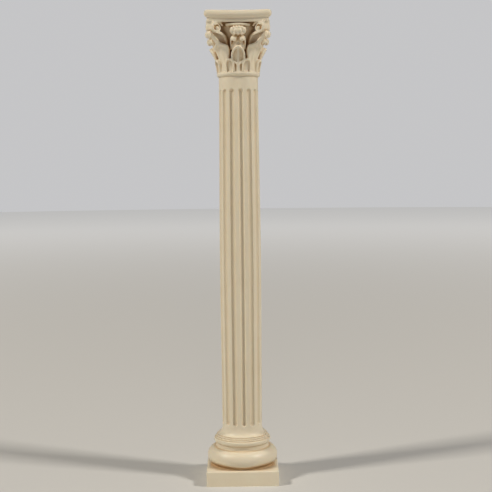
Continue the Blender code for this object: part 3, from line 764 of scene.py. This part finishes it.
@dataclass
class Leaf:
    """Outline, thickness and carving of one kind of leaf, in metres."""

    rows: Rows
    thickness: float
    rim: float
    blade_depth: float
    vein_height: float
    vein_width: float
    edge_round: float
    slope: float
    columns: int = 33
    root_reach: float | None = None
    root_climb: float = 0.0

    def shell(self, bell_radius: float) -> Shell:
        """Shapes the leaf: rounded edge, raised rim, sunk blade and a vein up the middle.

        Args:
            bell_radius: Radius of the bell that the leaf wraps round.

        Returns:
            Points and faces of a closed shell at the front of the column.
        """
        path = np.array([row[0] for row in self.rows])
        widths = np.array([row[1] for row in self.rows])
        ahead = directions(path)
        front = np.stack([ahead[:, 1], -ahead[:, 0]], axis=1)
        run = np.concatenate([[0.0], np.cumsum(np.linalg.norm(np.diff(path, axis=0), axis=1))])
        shares = np.sin(QUARTER * np.linspace(-1, 1, self.columns))
        across = widths[:, None] * shares[None, :]
        inside = self.edge_distance(np.abs(across), np.repeat(run[:, None], self.columns, 1), widths, run)
        near = np.clip(inside / self.edge_round, 0.0, 1.0)
        edge = np.sqrt(1 - (1 - near) ** 2)
        sunk = np.clip((inside - self.rim) / self.slope, 0.0, 1.0)
        sunk = sunk * sunk * (3 - 2 * sunk)
        vein = np.exp(-((across / self.vein_width) ** 2)) * sunk
        lift = self.thickness / 2 * edge - self.blade_depth * sunk + self.vein_height * vein
        back = -self.thickness / 2 * edge
        rings = []
        for i in range(len(self.rows)):
            line = [(across[i, k], path[i] + front[i] * lift[i, k]) for k in range(self.columns)]
            behind = range(self.columns - 2, 0, -1)
            if self.root_reach is None:
                line += [(across[i, k], path[i] + front[i] * back[i, k]) for k in behind]
            else:
                level = path[i][1] + max(path[i][0] - self.root_reach, 0.0) * self.root_climb
                line += [(across[i, k], (self.root_reach, level)) for k in behind]
            ring = []
            for side, (reach, height) in line:
                angle = side / max(reach, bell_radius)
                ring.append((reach * math.sin(angle), -reach * math.cos(angle), height))
            rings.append(ring)
        return lofted(rings)

    @staticmethod
    def edge_distance(x: np.ndarray, y: np.ndarray, widths: np.ndarray, run: np.ndarray) -> np.ndarray:
        """Measures how far each point lies inside the leaf's outline.

        Args:
            x: Distance from the middle line.
            y: Distance from the foot.
            widths: Half widths of the outline.
            run: Distance of each width from the foot.

        Returns:
            The distances, in metres.
        """
        best = np.full(x.shape, 1.0)
        for i in range(len(run) - 1):
            a = np.array([widths[i], run[i]])
            b = np.array([widths[i + 1], run[i + 1]])
            d = b - a
            share = np.clip(((x - a[0]) * d[0] + (y - a[1]) * d[1]) / max(float(d @ d), 1e-16), 0.0, 1.0)
            best = np.minimum(best, np.hypot(x - a[0] - share * d[0], y - a[1] - share * d[1]))
        return best


@dataclass
class Capital:
    """Bell, two rows of leaves, corner volutes, scrolls, flowers and abacus, in metres and shares."""

    courses: Courses
    tool: RingTool
    head_radius: float = 0.01005
    astragal_proud: float = 0.00105
    bell_proud: float = 0.00035
    bell_rim_radius: float = 0.0123
    bell_waist: float = 0.0007
    lip_radius: float = 0.0143
    lip_height: float = 0.0014
    lip_drop: float = 0.0019
    lip_half_angle: float = math.radians(26)
    leaf_proud: float = 0.0005
    corner_leaf_proud: float = 0.0001
    lower_leaf_proud: float = 0.0010
    lower_leaf_rise: float = 0.0063
    face_leaf_rise: float = 0.0123
    corner_leaf_rise: float = 0.0173
    corner_leaf_thickness: float = 0.0013
    curl_reach: float = 0.0204
    curl_radius: float = 0.00125
    curl_half_width: float = 0.0014
    volute_radius: float = 0.0026
    volute_drop: float = 0.0028
    volute_reach: float = 0.0177
    volute_width: float = 0.0061
    volute_splay: float = math.radians(8)
    volute_relief: float = 0.0009
    volute_band: float = 0.0010
    eye_shift: float = 0.00025
    volute_eye: float = 0.0011
    spiral_stops: tuple[Flat, ...] = (
        (166.0, 0.0038), (90.0, 0.0027), (0.0, 0.00215), (-90.0, 0.0020), (-180.0, 0.00205), (-270.0, 0.0018),
        (-310.0, 0.0014))
    stalk_thickness: float = 0.0013
    stalk_foot_rise: float = 0.0118
    stalk_foot_half_width: float = 0.0035
    scroll_spacing: float = 0.0038
    scroll_ball: float = 0.00138
    scroll_rise: float = 0.0155
    scroll_reach: float = 0.0132
    scroll_stem: float = 0.00034
    calyx_half_width: float = 0.0035
    calyx_rise: float = 0.0105
    calyx_rib: float = 0.00016
    calyx_foot_reach: float = 0.0128
    flower_rise: float = 0.0194
    flower_reach: float = 0.0156
    abacus_side: float = 0.0338
    abacus_hollow: float = 0.0016
    abacus_chamfer: float = 0.0017
    fascia_height: float = 0.0016
    fascia_setback: float = 0.0013
    groove_setback: float = 0.0016
    groove_height: float = 0.0006
    top_edge_round: float = 0.0009
    ovolo: float = 0.0015
    overlap: float = 0.0006
    voxel: float = 0.0002
    faces: int = 100000
    soften_factor: float = 0.5
    soften_rounds: int = 3
    # Turning of the bell: how late it flares, where its waist lies, and how fine it is
    flare_power: float = 6
    waist_power: float = 1.5
    bell_spans: int = 20
    bell_sides: int = 96
    ring_spans: int = 20
    ring_hidden: int = 4
    lip_cut: float = 0.3
    lip_spans: int = 16
    # Middle line of an arched leaf: the handles of its curve as shares of its rise and lean
    arch_upright: float = 0.35
    arch_bend: Flat = (0.42, 0.68)
    arch_stem_rows: int = 18
    arch_head_rows: int = 16
    arch_least_width: float = 0.02
    # Corner leaf: handles of its climb, half widths at foot and shoulder, where it widens and slims, its curl
    corner_upright: float = 0.7
    corner_swing: float = 0.36
    corner_rows_up: int = 34
    corner_half_widths: Flat = (0.0031, 0.0051)
    corner_widens: Flat = (0.15, 0.5)
    corner_slims: Flat = (0.71, 0.11)
    curl_start: float = math.radians(128)
    curl_turn: float = math.radians(200)
    curl_rows: int = 14
    curl_taper: float = 0.25
    curl_core: Point = (0.0012, 0.0010, 0.0010)
    # Volute: rounding of the roll's ends, the block over it, the stalk's curve and section, the raised band
    roll_edge: float = 0.0003
    roll_end_share: float = 0.94
    roll_sides: int = 40
    saddle_half_depth: float = 0.0025
    stalk_past: float = 0.2
    stalk_climb: float = 0.82
    stalk_bend: Flat = (0.28, 0.12)
    stalk_rows: int = 24
    stalk_section: tuple[Flat, ...] = (
        (-0.7, 0.75), (0.0, 0.6), (0.7, 0.75), (1.0, 1.15), (1.0, -1.0), (-1.0, -1.0), (-1.0, 1.15))
    band_share: float = 1.35
    band_taper: float = 0.65
    band_bevel: float = 0.6
    band_flat: float = 0.5
    spiral_rows: int = 90
    # Calyx: narrowing, ribs, fullness of its front and the step that keeps its back corners apart
    calyx_taper: float = 0.12
    calyx_ribs: int = 10
    calyx_fullness: float = 0.5
    calyx_tuck: float = 0.0002
    calyx_rows: int = 12
    calyx_columns: int = 32
    # Stems of the small scrolls: distance from the ball, bow, bend over it, lean, height and sinking
    stem_clear: float = 1.12
    stem_bow: float = 0.4
    stem_bend: float = math.radians(165)
    stem_lean: float = 0.2
    stem_bulge: Flat = (0.9, 0.4)
    stem_rows: int = 8
    stem_bend_rows: int = 14
    stem_columns: int = 6
    # Flower: half sizes of its body and root, how deep they lie, and its petals in millimetres as
    # side, rise, half width, half height and depth, with a mirrored twin for each one off the middle
    flower_body: Point = (0.0034, 0.0017, 0.0020)
    flower_sunk: float = 0.0021
    flower_lift: float = 0.0001
    petal_sunk: float = 0.0016
    flower_root: Point = (0.0034, 0.0018, 0.0016)
    flower_root_height: float = 0.0036
    petals: tuple[tuple[float, ...], ...] = (
        (3.20, 0.25, 0.95, 1.65, 1.2), (2.05, 1.45, 0.95, 0.85, 1.1), (0.70, 1.70, 0.80, 0.75, 1.1),
        (1.15, 0.05, 1.20, 1.35, 1.5), (1.95, -1.30, 1.00, 0.90, 1.1), (0.0, -1.35, 1.00, 0.85, 1.2))
    # Abacus: stretches of a side, lift of the groove, degrees of its round edge, shares of the top's rounding
    side_spans: int = 24
    groove_lift: float = 0.4
    edge_degrees: range = range(-70, 26, 8)
    top_rounding: tuple[Flat, ...] = ((0.25, 0.7), (0.5, 0.3))

    @property
    def bell_radius(self) -> float:
        """Radius of the bell at its foot."""
        return self.head_radius + self.bell_proud

    @property
    def root_reach(self) -> float:
        """Radius inside the bell at which carvings end."""
        return self.bell_radius - self.bell_waist - self.overlap

    @property
    def volute_centre(self) -> Flat:
        """Reach and height of the axle of a volute."""
        return self.volute_reach, self.courses.abacus_foot - self.volute_drop

    def bell(self) -> bpy.types.Object:
        """Turns the astragal and the plain bell behind the leaves."""
        c = self.courses
        flare = self.bell_rim_radius - self.bell_radius
        profile = [(self.bell_rim_radius, c.abacus_foot + self.overlap)]
        for i in range(self.bell_spans + 1):
            share = 1 - i / self.bell_spans
            waist = self.bell_waist * math.sin(math.pi * share ** self.waist_power)
            radius = self.bell_radius + flare * share ** self.flare_power - waist
            profile.append((radius, c.bell_foot + (c.bell - self.lip_drop) * share))
        ring = c.astragal / 2
        centre = (self.head_radius + self.astragal_proud - ring, c.astragal_foot + ring)
        profile += half_round(centre, ring, ring, self.ring_spans)[self.ring_hidden:]
        profile += [(self.head_radius - self.overlap, c.astragal_foot),
                    (self.head_radius - self.overlap, c.astragal_foot - self.overlap)]
        return turned("bell", profile, self.bell_sides)

    def lip(self) -> bpy.types.Object:
        """Makes the stretch of the bell's rim that shows between two volutes."""
        foot = self.courses.abacus_foot - self.lip_drop
        top = foot + self.lip_height
        root = self.bell_rim_radius - 2 * self.overlap
        cut = self.lip_height * self.lip_cut
        section = [(self.lip_radius, foot + cut), (self.lip_radius, top - cut * self.lip_cut),
                   (self.lip_radius - cut * self.lip_cut, top), (root, top), (root, foot),
                   (self.lip_radius - cut, foot)]
        rings = []
        for i in range(self.lip_spans + 1):
            angle = self.lip_half_angle * (2 * i / self.lip_spans - 1)
            rings.append([(r * math.sin(angle), -r * math.cos(angle), z) for r, z in section])
        return joined("lip", [lofted(rings)])

    def arch_rows(self, rise: float, half_width: float, proud: float, thickness: float, lean: float,
                  stem: float, opens: Flat, shoulder: float, point: float) -> Rows:
        """Gives the middle line and half widths of a leaf with an arched head.

        Args:
            rise: Height of the tip above the foot of the bell.
            half_width: Half width at the shoulder.
            proud: How far the leaf stands out of the bell at its foot.
            thickness: Thickness of the leaf.
            lean: How far the tip leans out.
            stem: Half width of the stem.
            opens: Shares of the rise where the stem starts to widen and where the leaf is full.
            shoulder: Share of the rise where the head starts.
            point: 2 for a round head, less for a pointed one.

        Returns:
            Rows of a point (reach, height) and a half width.
        """
        foot = (self.bell_radius + proud - thickness / 2, self.courses.bell_foot - self.overlap / 2)
        tip = (foot[0] + lean, self.courses.bell_foot + rise)
        upright = (foot[0], foot[1] + rise * self.arch_upright)
        bend = (foot[0] + lean * self.arch_bend[0], foot[1] + rise * self.arch_bend[1])
        low, high = self.arch_stem_rows, self.arch_head_rows
        shares = [shoulder * i / low for i in range(low)]
        shares += [1 - (1 - shoulder) * math.cos(QUARTER * i / high) for i in range(high + 1)]
        least = half_width * self.arch_least_width
        rows = []
        for share in shares:
            width = stem + (half_width - stem) * smooth((share - opens[0]) / (opens[1] - opens[0]))
            if share > shoulder:
                width *= (1 - ((share - shoulder) / (1 - shoulder)) ** point) ** (1 / point)
            rows.append((bezier(foot, upright, bend, tip, share), max(width, least)))
        return rows

    def corner_rows(self) -> Rows:
        """Gives the middle line and half widths of a corner leaf: a climb, then a curl outwards and down."""
        rise = self.corner_leaf_rise
        foot_level = self.courses.bell_foot
        centre = (self.curl_reach, foot_level + rise)
        begin = self.curl_start
        turn_in = (centre[0] + self.curl_radius * math.cos(begin),
                   centre[1] + self.curl_radius * math.sin(begin))
        along = (math.sin(begin), -math.cos(begin))
        foot = (self.bell_radius + self.corner_leaf_proud - self.corner_leaf_thickness / 2,
                foot_level - self.overlap / 2)
        climb = (foot[0], foot[1] + rise * self.corner_upright)
        outward = (turn_in[0] - along[0] * rise * self.corner_swing,
                   turn_in[1] - along[1] * rise * self.corner_swing)
        spans = self.corner_rows_up
        path = [bezier(foot, climb, outward, turn_in, i / spans) for i in range(spans + 1)]
        narrow, broad = self.corner_half_widths
        rows = []
        for reach, height in path:
            climbed = (height - foot_level) / rise
            slim = smooth((climbed - self.corner_slims[0]) / self.corner_slims[1])
            widened = smooth((climbed - self.corner_widens[0]) / self.corner_widens[1])
            width = narrow + (broad - narrow) * widened
            rows.append(((reach, height), width + (self.curl_half_width - width) * slim))
        for i in range(1, self.curl_rows + 1):
            share = i / self.curl_rows
            angle = begin - self.curl_turn * i / self.curl_rows
            spot = (centre[0] + self.curl_radius * math.cos(angle),
                    centre[1] + self.curl_radius * math.sin(angle))
            rows.append((spot, self.curl_half_width * (1 - self.curl_taper * share ** 3)))
        return rows

    def lower_leaf(self) -> bpy.types.Object:
        """Makes a leaf of the lower row: a round arch with a thick rim."""
        thickness = 0.0020
        rows = self.arch_rows(
            self.lower_leaf_rise, half_width=0.0025, proud=self.lower_leaf_proud, thickness=thickness,
            lean=0.0015, stem=0.0024, opens=(0.0, 0.3), shoulder=0.52, point=2.0)
        leaf = Leaf(rows, thickness, rim=0.00085, blade_depth=0.0010, vein_height=0.00010, vein_width=0.0005,
                    edge_round=0.0005, slope=0.0004)
        return joined("lower leaf", [leaf.shell(self.bell_radius)])

    def face_leaf(self) -> bpy.types.Object:
        """Makes the tall leaf in the middle of a side: a pointed arch on a narrow stem."""
        thickness = 0.0016
        rows = self.arch_rows(
            self.face_leaf_rise, half_width=0.0037, proud=self.leaf_proud, thickness=thickness,
            lean=0.0042, stem=0.0011, opens=(0.24, 0.46), shoulder=0.62, point=1.75)
        leaf = Leaf(rows, thickness, rim=0.00090, blade_depth=0.0012, vein_height=0.0009, vein_width=0.0008,
                    edge_round=0.0004, slope=0.0006, root_reach=self.root_reach, root_climb=0.30)
        return joined("face leaf", [leaf.shell(self.bell_radius)])

    def corner_leaf(self) -> bpy.types.Object:
        """Makes a corner leaf with its curled tip."""
        leaf = Leaf(self.corner_rows(), self.corner_leaf_thickness, rim=0.0012, blade_depth=0.0008,
                    vein_height=0.00035, vein_width=0.0006, edge_round=0.0005, slope=0.0009)
        curl_level = self.courses.bell_foot + self.corner_leaf_rise
        core = ball((0.0, -self.curl_reach, curl_level), self.curl_core)
        return joined("corner leaf", [leaf.shell(self.bell_radius), core])

    def volute(self) -> bpy.types.Object:
        """Makes a rolled volute with its stalk and the raised spirals on both ends."""
        reach, height = self.volute_centre
        half = self.volute_width / 2
        end = half - self.volute_relief
        inner = end - self.roll_edge
        rings = [self.axle_circle(side, self.volute_radius * share) for side, share in (
            (-end, self.roll_end_share), (-inner, 1.0), (inner, 1.0), (end, self.roll_end_share))]
        deep, top = self.saddle_half_depth, height + self.volute_drop + self.overlap
        outline = ((-deep, height), (deep, height), (deep, top), (-deep, top))
        saddle = [[(x, -(reach + y), z) for y, z in outline] for x in (-end, end)]
        shells = [lofted(rings), lofted(saddle), self.stalk()]
        for sign in (-1, 1):
            shells.append(self.spiral(sign))
            eye = (sign * (half - self.volute_eye / 2), -(reach - self.eye_shift), height - self.eye_shift)
            shells.append(ball(eye, (self.volute_eye,) * 3))
        return joined("volute", shells)

    def axle_circle(self, side: float, radius: float) -> list[Point]:
        """Gives a circle about a volute's axle, a distance from the middle of the roll."""
        reach, height = self.volute_centre
        splay = math.copysign(math.tan(self.volute_splay), side)
        circle = []
        for i in range(self.roll_sides):
            turn = 2 * math.pi * i / self.roll_sides
            out = radius * math.cos(turn)
            circle.append((side - splay * radius * math.cos(turn), -(reach + out),
                           height + radius * math.sin(turn)))
        return circle

    def stalk(self) -> Shell:
        """Shapes the band that climbs from the bell to the underside of a volute."""
        reach, height = self.volute_centre
        foot = (self.bell_radius + self.stalk_thickness / 3, self.courses.bell_foot + self.stalk_foot_rise)
        end = (reach + self.stalk_past * self.volute_radius,
               height - self.volute_radius + self.stalk_thickness / 2)
        climb = (foot[0], foot[1] + (end[1] - foot[1]) * self.stalk_climb)
        level = (foot[0] + (end[0] - foot[0]) * self.stalk_bend[0],
                 end[1] - (end[1] - foot[1]) * self.stalk_bend[1])
        spans = self.stalk_rows
        path = np.array([bezier(foot, climb, level, end, i / spans) for i in range(spans + 1)])
        rings = []
        for i, (spot, way) in enumerate(zip(path, directions(path))):
            front = np.array([way[1], -way[0]]) * (self.stalk_thickness / 2)
            foot_half = self.stalk_foot_half_width
            half = foot_half + (self.volute_width / 2 - foot_half) * i / spans
            ring = []
            for side, proud in self.stalk_section:
                out, up = spot + front * proud
                ring.append((half * side, -out, up))
            rings.append(ring)
        return lofted(rings)

    def spiral(self, sign: int) -> Shell:
        """Shapes the raised band that winds over a volute's end into its eye.

        Args:
            sign: -1 for the left end of the roll, 1 for the right end.

        Returns:
            Points and faces of the band.
        """
        reach, height = self.volute_centre
        inside = self.volute_width / 2 - self.volute_relief - self.overlap
        outside = self.volute_width / 2
        splay = math.tan(self.volute_splay)
        first, last = self.spiral_stops[0][0], self.spiral_stops[-1][0]
        turns = []
        for i in range(self.spiral_rows + 1):
            degrees = first - (first - last) * i / self.spiral_rows
            for (begin, wide), (stop, narrow) in zip(self.spiral_stops, self.spiral_stops[1:]):
                if begin >= degrees >= stop:
                    radius = wide + (narrow - wide) * (begin - degrees) / (begin - stop)
                    turns.append((math.radians(degrees), radius))
                    break
        rings = []
        for i, (angle, radius) in enumerate(turns):
            wound = smooth(i / len(turns))
            half = self.volute_band * (self.band_share - self.band_taper * wound) / 2
            shoulder, flat = outside - half * self.band_bevel, half * self.band_flat
            section = ((half, inside), (half, shoulder), (flat, outside), (-flat, outside), (-half, shoulder),
                       (-half, inside))
            ring = []
            for r, side in section:
                out, up = (radius + r) * math.cos(angle), (radius + r) * math.sin(angle)
                ring.append((sign * (side - splay * out), -(reach + out), height + up))
            rings.append(ring)
        return lofted(rings)

    def scrolls(self) -> bpy.types.Object:
        """Makes the calyx and the pair of small scrolls below a flower."""
        height = self.courses.bell_foot + self.scroll_rise
        shells = [self.calyx()]
        for sign in (-1, 1):
            middle = sign * self.scroll_spacing / 2
            shells.append(ball((middle, -self.scroll_reach, height), (self.scroll_ball,) * 3, 14, 20))
            shells.append(self.stem_shell(sign, middle, height))
        return joined("scrolls", shells)

    def calyx(self) -> Shell:
        """Shapes the rounded body behind the scrolls, from the face leaf up to the flower."""
        foot = self.courses.bell_foot + self.calyx_rise
        top = self.courses.bell_foot + self.flower_rise
        back = self.root_reach
        rings = []
        for i in range(self.calyx_rows + 1):
            share = i / self.calyx_rows
            front = self.calyx_foot_reach + (self.scroll_reach - self.calyx_foot_reach) * smooth(share)
            half = self.calyx_half_width * (1 - self.calyx_taper * share)
            level = foot + (top - foot) * share
            ring = [(-half, -back, level)]
            for k in range(self.calyx_columns + 1):
                angle = math.pi * (1 - k / self.calyx_columns)
                rib = self.calyx_rib * math.cos(self.calyx_ribs * angle)
                out = back + (front + rib - back) * math.sin(angle) ** self.calyx_fullness
                ring.append((half * math.cos(angle), -out, level))
            ring.append((half, -back, level))
            ring[0], ring[-1] = [(x, y + self.calyx_tuck, z) for x, y, z in (ring[0], ring[-1])]
            rings.append(ring)
        return lofted(rings)

    def stem_shell(self, sign: int, middle: float, height: float) -> Shell:
        """Shapes a stem that climbs outside a scroll's ball, leaning out, and bends over it.

        Args:
            sign: -1 for the left scroll, 1 for the right one.
            middle: Side position of the ball.
            height: Level of the ball.

        Returns:
            Points and faces of the stem.
        """
        bend = self.scroll_ball * self.stem_clear
        bow = self.scroll_stem * self.stem_bow
        foot = self.courses.bell_foot + self.calyx_rise
        up, over = self.stem_rows, self.stem_bend_rows
        path = [(middle + sign * (bend + bow * math.sin(math.pi * i / up)), foot + (height - foot) * i / up)
                for i in range(up)]
        for i in range(over + 1):
            angle = self.stem_bend * i / over
            path.append((middle + sign * bend * math.cos(angle), height + bend * math.sin(angle)))
        line = np.array(path)
        rings = []
        low = self.bell_radius + self.scroll_stem
        back = self.root_reach
        rise, sink = self.stem_bulge
        for (side, level), way in zip(line, directions(line)):
            across = np.array([way[1], -way[0]]) * self.scroll_stem
            climbed = (level - foot) / (height - foot)
            front = low + (self.scroll_reach + self.scroll_ball * self.stem_lean - low) * smooth(climbed)
            ring = [(side - across[0], -back, level - across[1])]
            for k in range(self.stem_columns + 1):
                angle = math.pi * (1 - k / self.stem_columns)
                bulge = self.scroll_stem * (math.sin(angle) * rise - sink)
                ring.append((side + across[0] * math.cos(angle), -(front + bulge),
                             level + across[1] * math.cos(angle)))
            ring.append((side + across[0], -back, level + across[1]))
            rings.append(ring)
        return lofted(rings)

    def flower(self) -> bpy.types.Object:
        """Makes the flower in the middle of a side: a full body with low rounded petals round it."""
        level = self.courses.bell_foot + self.flower_rise
        reach = self.flower_reach
        middle = (0.0, -(reach - self.flower_sunk), level + self.flower_lift)
        shells = [ball(middle, self.flower_body, 18, 28)]
        for side, rise, half_width, half_height, depth in self.petals:
            for sign in (-1, 1) if side else (1,):
                shells.append(ball((sign * side / 1000, -(reach - self.petal_sunk), level + rise / 1000),
                                   (half_width / 1000, depth / 1000, half_height / 1000), 12, 18))
        half, sunk, drop = self.flower_root
        back, front = self.bell_radius - self.bell_waist, reach - sunk
        plan = ((-half, back), (half, back), (half, front), (-half, front))
        root = [(x, -y, level - drop) for x, y in plan]
        shells.append(lofted([root, [(x, y, z + self.flower_root_height) for x, y, z in root]]))
        return joined("flower", shells)

    def abacus_ring(self, setback: float, height: float) -> list[Point]:
        """Gives the plan of the abacus at one level: four hollow sides between cut corners."""
        half = self.abacus_side / 2 - setback
        corner = half - self.abacus_chamfer / math.sqrt(2)
        ring = []
        for n in range(4):
            for i in range(self.side_spans + 1):
                share = 2 * i / self.side_spans - 1
                depth = half - self.abacus_hollow * (1 - share * share)
                spot = Matrix.Rotation(QUARTER * n, 3, "Z") @ Vector((corner * share, -depth, height))
                ring.append(tuple(spot))
        return ring

    def abacus(self) -> bpy.types.Object:
        """Makes the abacus: plain fascia, groove and a thick rounded edge."""
        top = self.courses.top
        foot = self.courses.abacus_foot
        groove = foot + self.fascia_height
        round_foot = groove + self.groove_height
        half = (top - round_foot) / 2
        rows = [(self.fascia_setback, foot), (self.fascia_setback, groove),
                (self.groove_setback, groove + self.groove_height * self.groove_lift)]
        for degrees in self.edge_degrees:
            angle = math.radians(degrees)
            bulge = self.ovolo if degrees < 0 else self.top_edge_round
            rows.append((bulge * (1 - math.cos(angle)), round_foot + half * (1 + math.sin(angle))))
        edge = self.top_edge_round
        rows += [(edge * back, top - edge * down) for back, down in self.top_rounding] + [(edge, top)]
        return joined("abacus", [lofted([self.abacus_ring(setback, level) for setback, level in rows])])

    def build(self) -> bpy.types.Object:
        """Makes every carving, repeats it round the bell and melts all into one soft-edged body.

        Returns:
            A closed object from the foot of the astragal to the top.
        """
        pieces = [self.bell(), self.abacus()]
        carvings: list[tuple[Callable[[], bpy.types.Object], int, Place]] = [
            (self.lip, 4, Place.FACE), (self.lower_leaf, 8, Place.BETWEEN),
            (self.face_leaf, 4, Place.FACE), (self.corner_leaf, 4, Place.CORNER),
            (self.volute, 4, Place.CORNER), (self.scrolls, 4, Place.FACE), (self.flower, 4, Place.FACE)]
        pieces += [self.tool.ring(make(), copies, place) for make, copies, place in carvings]
        shape = bmesh.new()
        for piece in pieces:
            shape.from_mesh(piece.data)
            bpy.data.objects.remove(piece)
        capital = meshed("capital", shape)
        melt = capital.modifiers.new("melt", "REMESH")
        melt.mode = "VOXEL"
        melt.voxel_size = self.voxel
        melt.use_smooth_shade = True
        apply_modifiers(capital)
        full = triangles(capital)
        soften = capital.modifiers.new("soften", "SMOOTH")
        soften.factor = self.soften_factor
        soften.iterations = self.soften_rounds
        thin = capital.modifiers.new("thin", "DECIMATE")
        thin.ratio = min(self.faces / full, 1.0)
        apply_modifiers(capital)
        log.info("capital: %d faces of %d", len(capital.data.polygons), full)
        return capital


@dataclass
class Casting:
    """The whole column as one closed casting."""

    material: bpy.types.Material
    rays: int = 14
    reach: float = 0.006
    ray_lift: float = 0.00003
    recess_passes: int = 3
    sharp_angle: float = math.radians(50)

    def cast(self, parts: list[bpy.types.Object]) -> bpy.types.Object:
        """Joins the parts into one closed body.

        Args:
            parts: Closed objects that reach into each other, the first one being kept.

        Returns:
            The casting.
        """
        body = parts[0]
        for other in parts[1:]:
            join = body.modifiers.new(other.name, "BOOLEAN")
            join.operation = "UNION"
            join.solver = "MANIFOLD"
            join.object = other
        apply_modifiers(body)
        for other in parts[1:]:
            bpy.data.objects.remove(other)
        body.name = "resin_casting"
        body.data.name = "resin_casting"
        body.data.materials.clear()
        body.data.materials.append(self.material)
        body.data.shade_smooth()
        body.data.set_sharp_from_angle(angle=self.sharp_angle)
        self.mark_recesses(body)
        return body

    def mark_recesses(self, body: bpy.types.Object) -> None:
        """Stores at each point how closed in it is, from 0 in the open to 1 deep inside.

        Args:
            body: The casting, with its place in its mesh.
        """
        mesh = body.data
        shape = bmesh.new()
        shape.from_mesh(mesh)
        tree = BVHTree.FromBMesh(shape)
        shape.free()
        count = len(mesh.vertices)
        golden = (1 + 5 ** 0.5) / 2
        rays = []
        for i in range(self.rays):
            tilt = math.acos(math.sqrt(1 - (i + 0.5) / self.rays))
            turn = 2 * math.pi * i / golden
            flat = math.sin(tilt)
            rays.append(Vector((flat * math.cos(turn), flat * math.sin(turn), math.cos(tilt))))
        closed = np.zeros(count)
        for n, corner in enumerate(mesh.vertices):
            normal = corner.normal
            basis = normal.to_track_quat("Z", "Y")
            origin = corner.co + normal * self.ray_lift
            met = 0.0
            for ray in rays:
                distance = tree.ray_cast(origin, basis @ ray, self.reach)[3]
                if distance is not None:
                    met += 1 - (distance / self.reach) ** 2
            closed[n] = met / self.rays
        ends = np.array([edge.vertices[:] for edge in mesh.edges])
        share = np.bincount(ends.ravel(), minlength=count).astype(float)
        here, there = ends[:, 0], ends[:, 1]
        for _ in range(self.recess_passes):
            total = np.bincount(here, closed[there], count) + np.bincount(there, closed[here], count)
            closed = 0.5 * closed + 0.5 * total / np.maximum(share, 1)
        # The material paints shade from this value, honey and umber in the closed-in places
        layer = mesh.attributes.new(RECESS, "FLOAT", "POINT")
        layer.data.foreach_set("value", closed.astype(np.float32))
        log.info("recesses: mean %.3f, most %.3f", closed.mean(), closed.max())


@dataclass
class Studio:
    """Floor, soft lights and the camera at the photograph's angle."""

    paper: StudioPaper
    floor_radius: float = 4.0
    lens: float = 73.24
    camera_place: Point = (0.0, -0.520, 0.160)
    pitch: float = math.radians(4.180)
    yaw: float = math.radians(0.3287)
    roll: float = math.radians(-0.6109)
    sensor: float = 36.0
    nearest: float = 0.01
    aim: Point = (0.0, 0.0, 0.13)
    wall: str = "F4F4F6"
    wall_strengths: Flat = (0.12, 0.62)

    def floor(self) -> None:
        """Lays a round pale floor at the level of the underside."""
        shape = bmesh.new()
        bmesh.ops.create_circle(shape, cap_ends=True, segments=96, radius=self.floor_radius)
        floor = meshed("floor", shape)
        floor.data.materials.append(self.paper.material())

    def softbox(self, name: str, place: Point, size: float, watts: float, tone: str) -> None:
        """Hangs a square soft light that looks at the middle of the column.

        Args:
            name: Name of the light.
            place: Its position.
            size: Its side.
            watts: Its power.
            tone: Its colour as sRGB hex.
        """
        lamp = bpy.data.lights.new(name, "AREA")
        lamp.size = size
        lamp.energy = watts
        lamp.color = linear(tone)[:3]
        holder = linked(name, lamp)
        holder.location = place
        holder.rotation_euler = (Vector(self.aim) - Vector(place)).to_track_quat("-Z", "Y").to_euler()

    def light(self) -> None:
        """Hangs two nearly equal soft lights high at the sides, a faint one in front and a pale surround."""
        self.softbox("key left", (-2.00, -0.80, 2.20), 0.35, 46.0, "FFF8EC")
        self.softbox("fill right", (2.00, -0.75, 2.15), 0.35, 43.0, "FFF9F0")
        self.softbox("front", (0.0, -2.40, 1.40), 0.6, 3.0, "FFFFFF")
        world = bpy.data.worlds.new("pale surround")
        world.use_nodes = True
        tree = world.node_tree
        back = tree.nodes["Background"]
        back.inputs["Color"].default_value = linear(self.wall)
        # The camera sees a pale wall, while the column gets little light from it and keeps its shadows
        seen = add_node(tree, "ShaderNodeLightPath").outputs["Is Camera Ray"]
        strength = add_node(tree, "ShaderNodeMapRange", None, {
            "Value": seen, "To Min": self.wall_strengths[0], "To Max": self.wall_strengths[1]})
        tree.links.new(strength.outputs["Result"], back.inputs["Strength"])
        bpy.context.scene.world = world
        bpy.context.scene.view_settings.view_transform = "Standard"

    def camera(self) -> None:
        """Places the camera that was fitted to the photograph."""
        flat = math.cos(self.pitch)
        forward = Vector((math.sin(self.yaw) * flat, math.cos(self.yaw) * flat, -math.sin(self.pitch)))
        right = Vector((math.cos(self.yaw), -math.sin(self.yaw), 0.0))
        up = right.cross(forward)
        across = right * math.cos(self.roll) + up * math.sin(self.roll)
        above = up * math.cos(self.roll) - right * math.sin(self.roll)
        lens = bpy.data.cameras.new("camera")
        lens.lens = self.lens
        lens.sensor_width = self.sensor
        lens.clip_start = self.nearest
        eye = linked("camera", lens)
        rows = [(across[i], above[i], -forward[i], self.camera_place[i]) for i in range(3)]
        eye.matrix_world = Matrix((*rows, (0, 0, 0, 1)))
        bpy.context.scene.camera = eye


def main() -> None:
    """Builds the casting, dresses it, and sets the floor, the lights and the camera."""
    logging.basicConfig(level=logging.INFO, format="%(message)s")
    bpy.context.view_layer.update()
    courses = Courses()
    resin = CastResin().material()
    stem = TurnedStem(courses, resin).build()
    plinth = Plinth(courses).build()
    capital = Capital(courses, RingTool(resin)).build()
    column = Casting(resin).cast([stem, plinth, capital])
    log.info("casting: %d triangles", triangles(column))
    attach(column, BODY)
    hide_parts(NODE)
    studio = Studio(StudioPaper())
    studio.floor()
    studio.light()
    studio.camera()


if __name__ == "__main__":
    main()
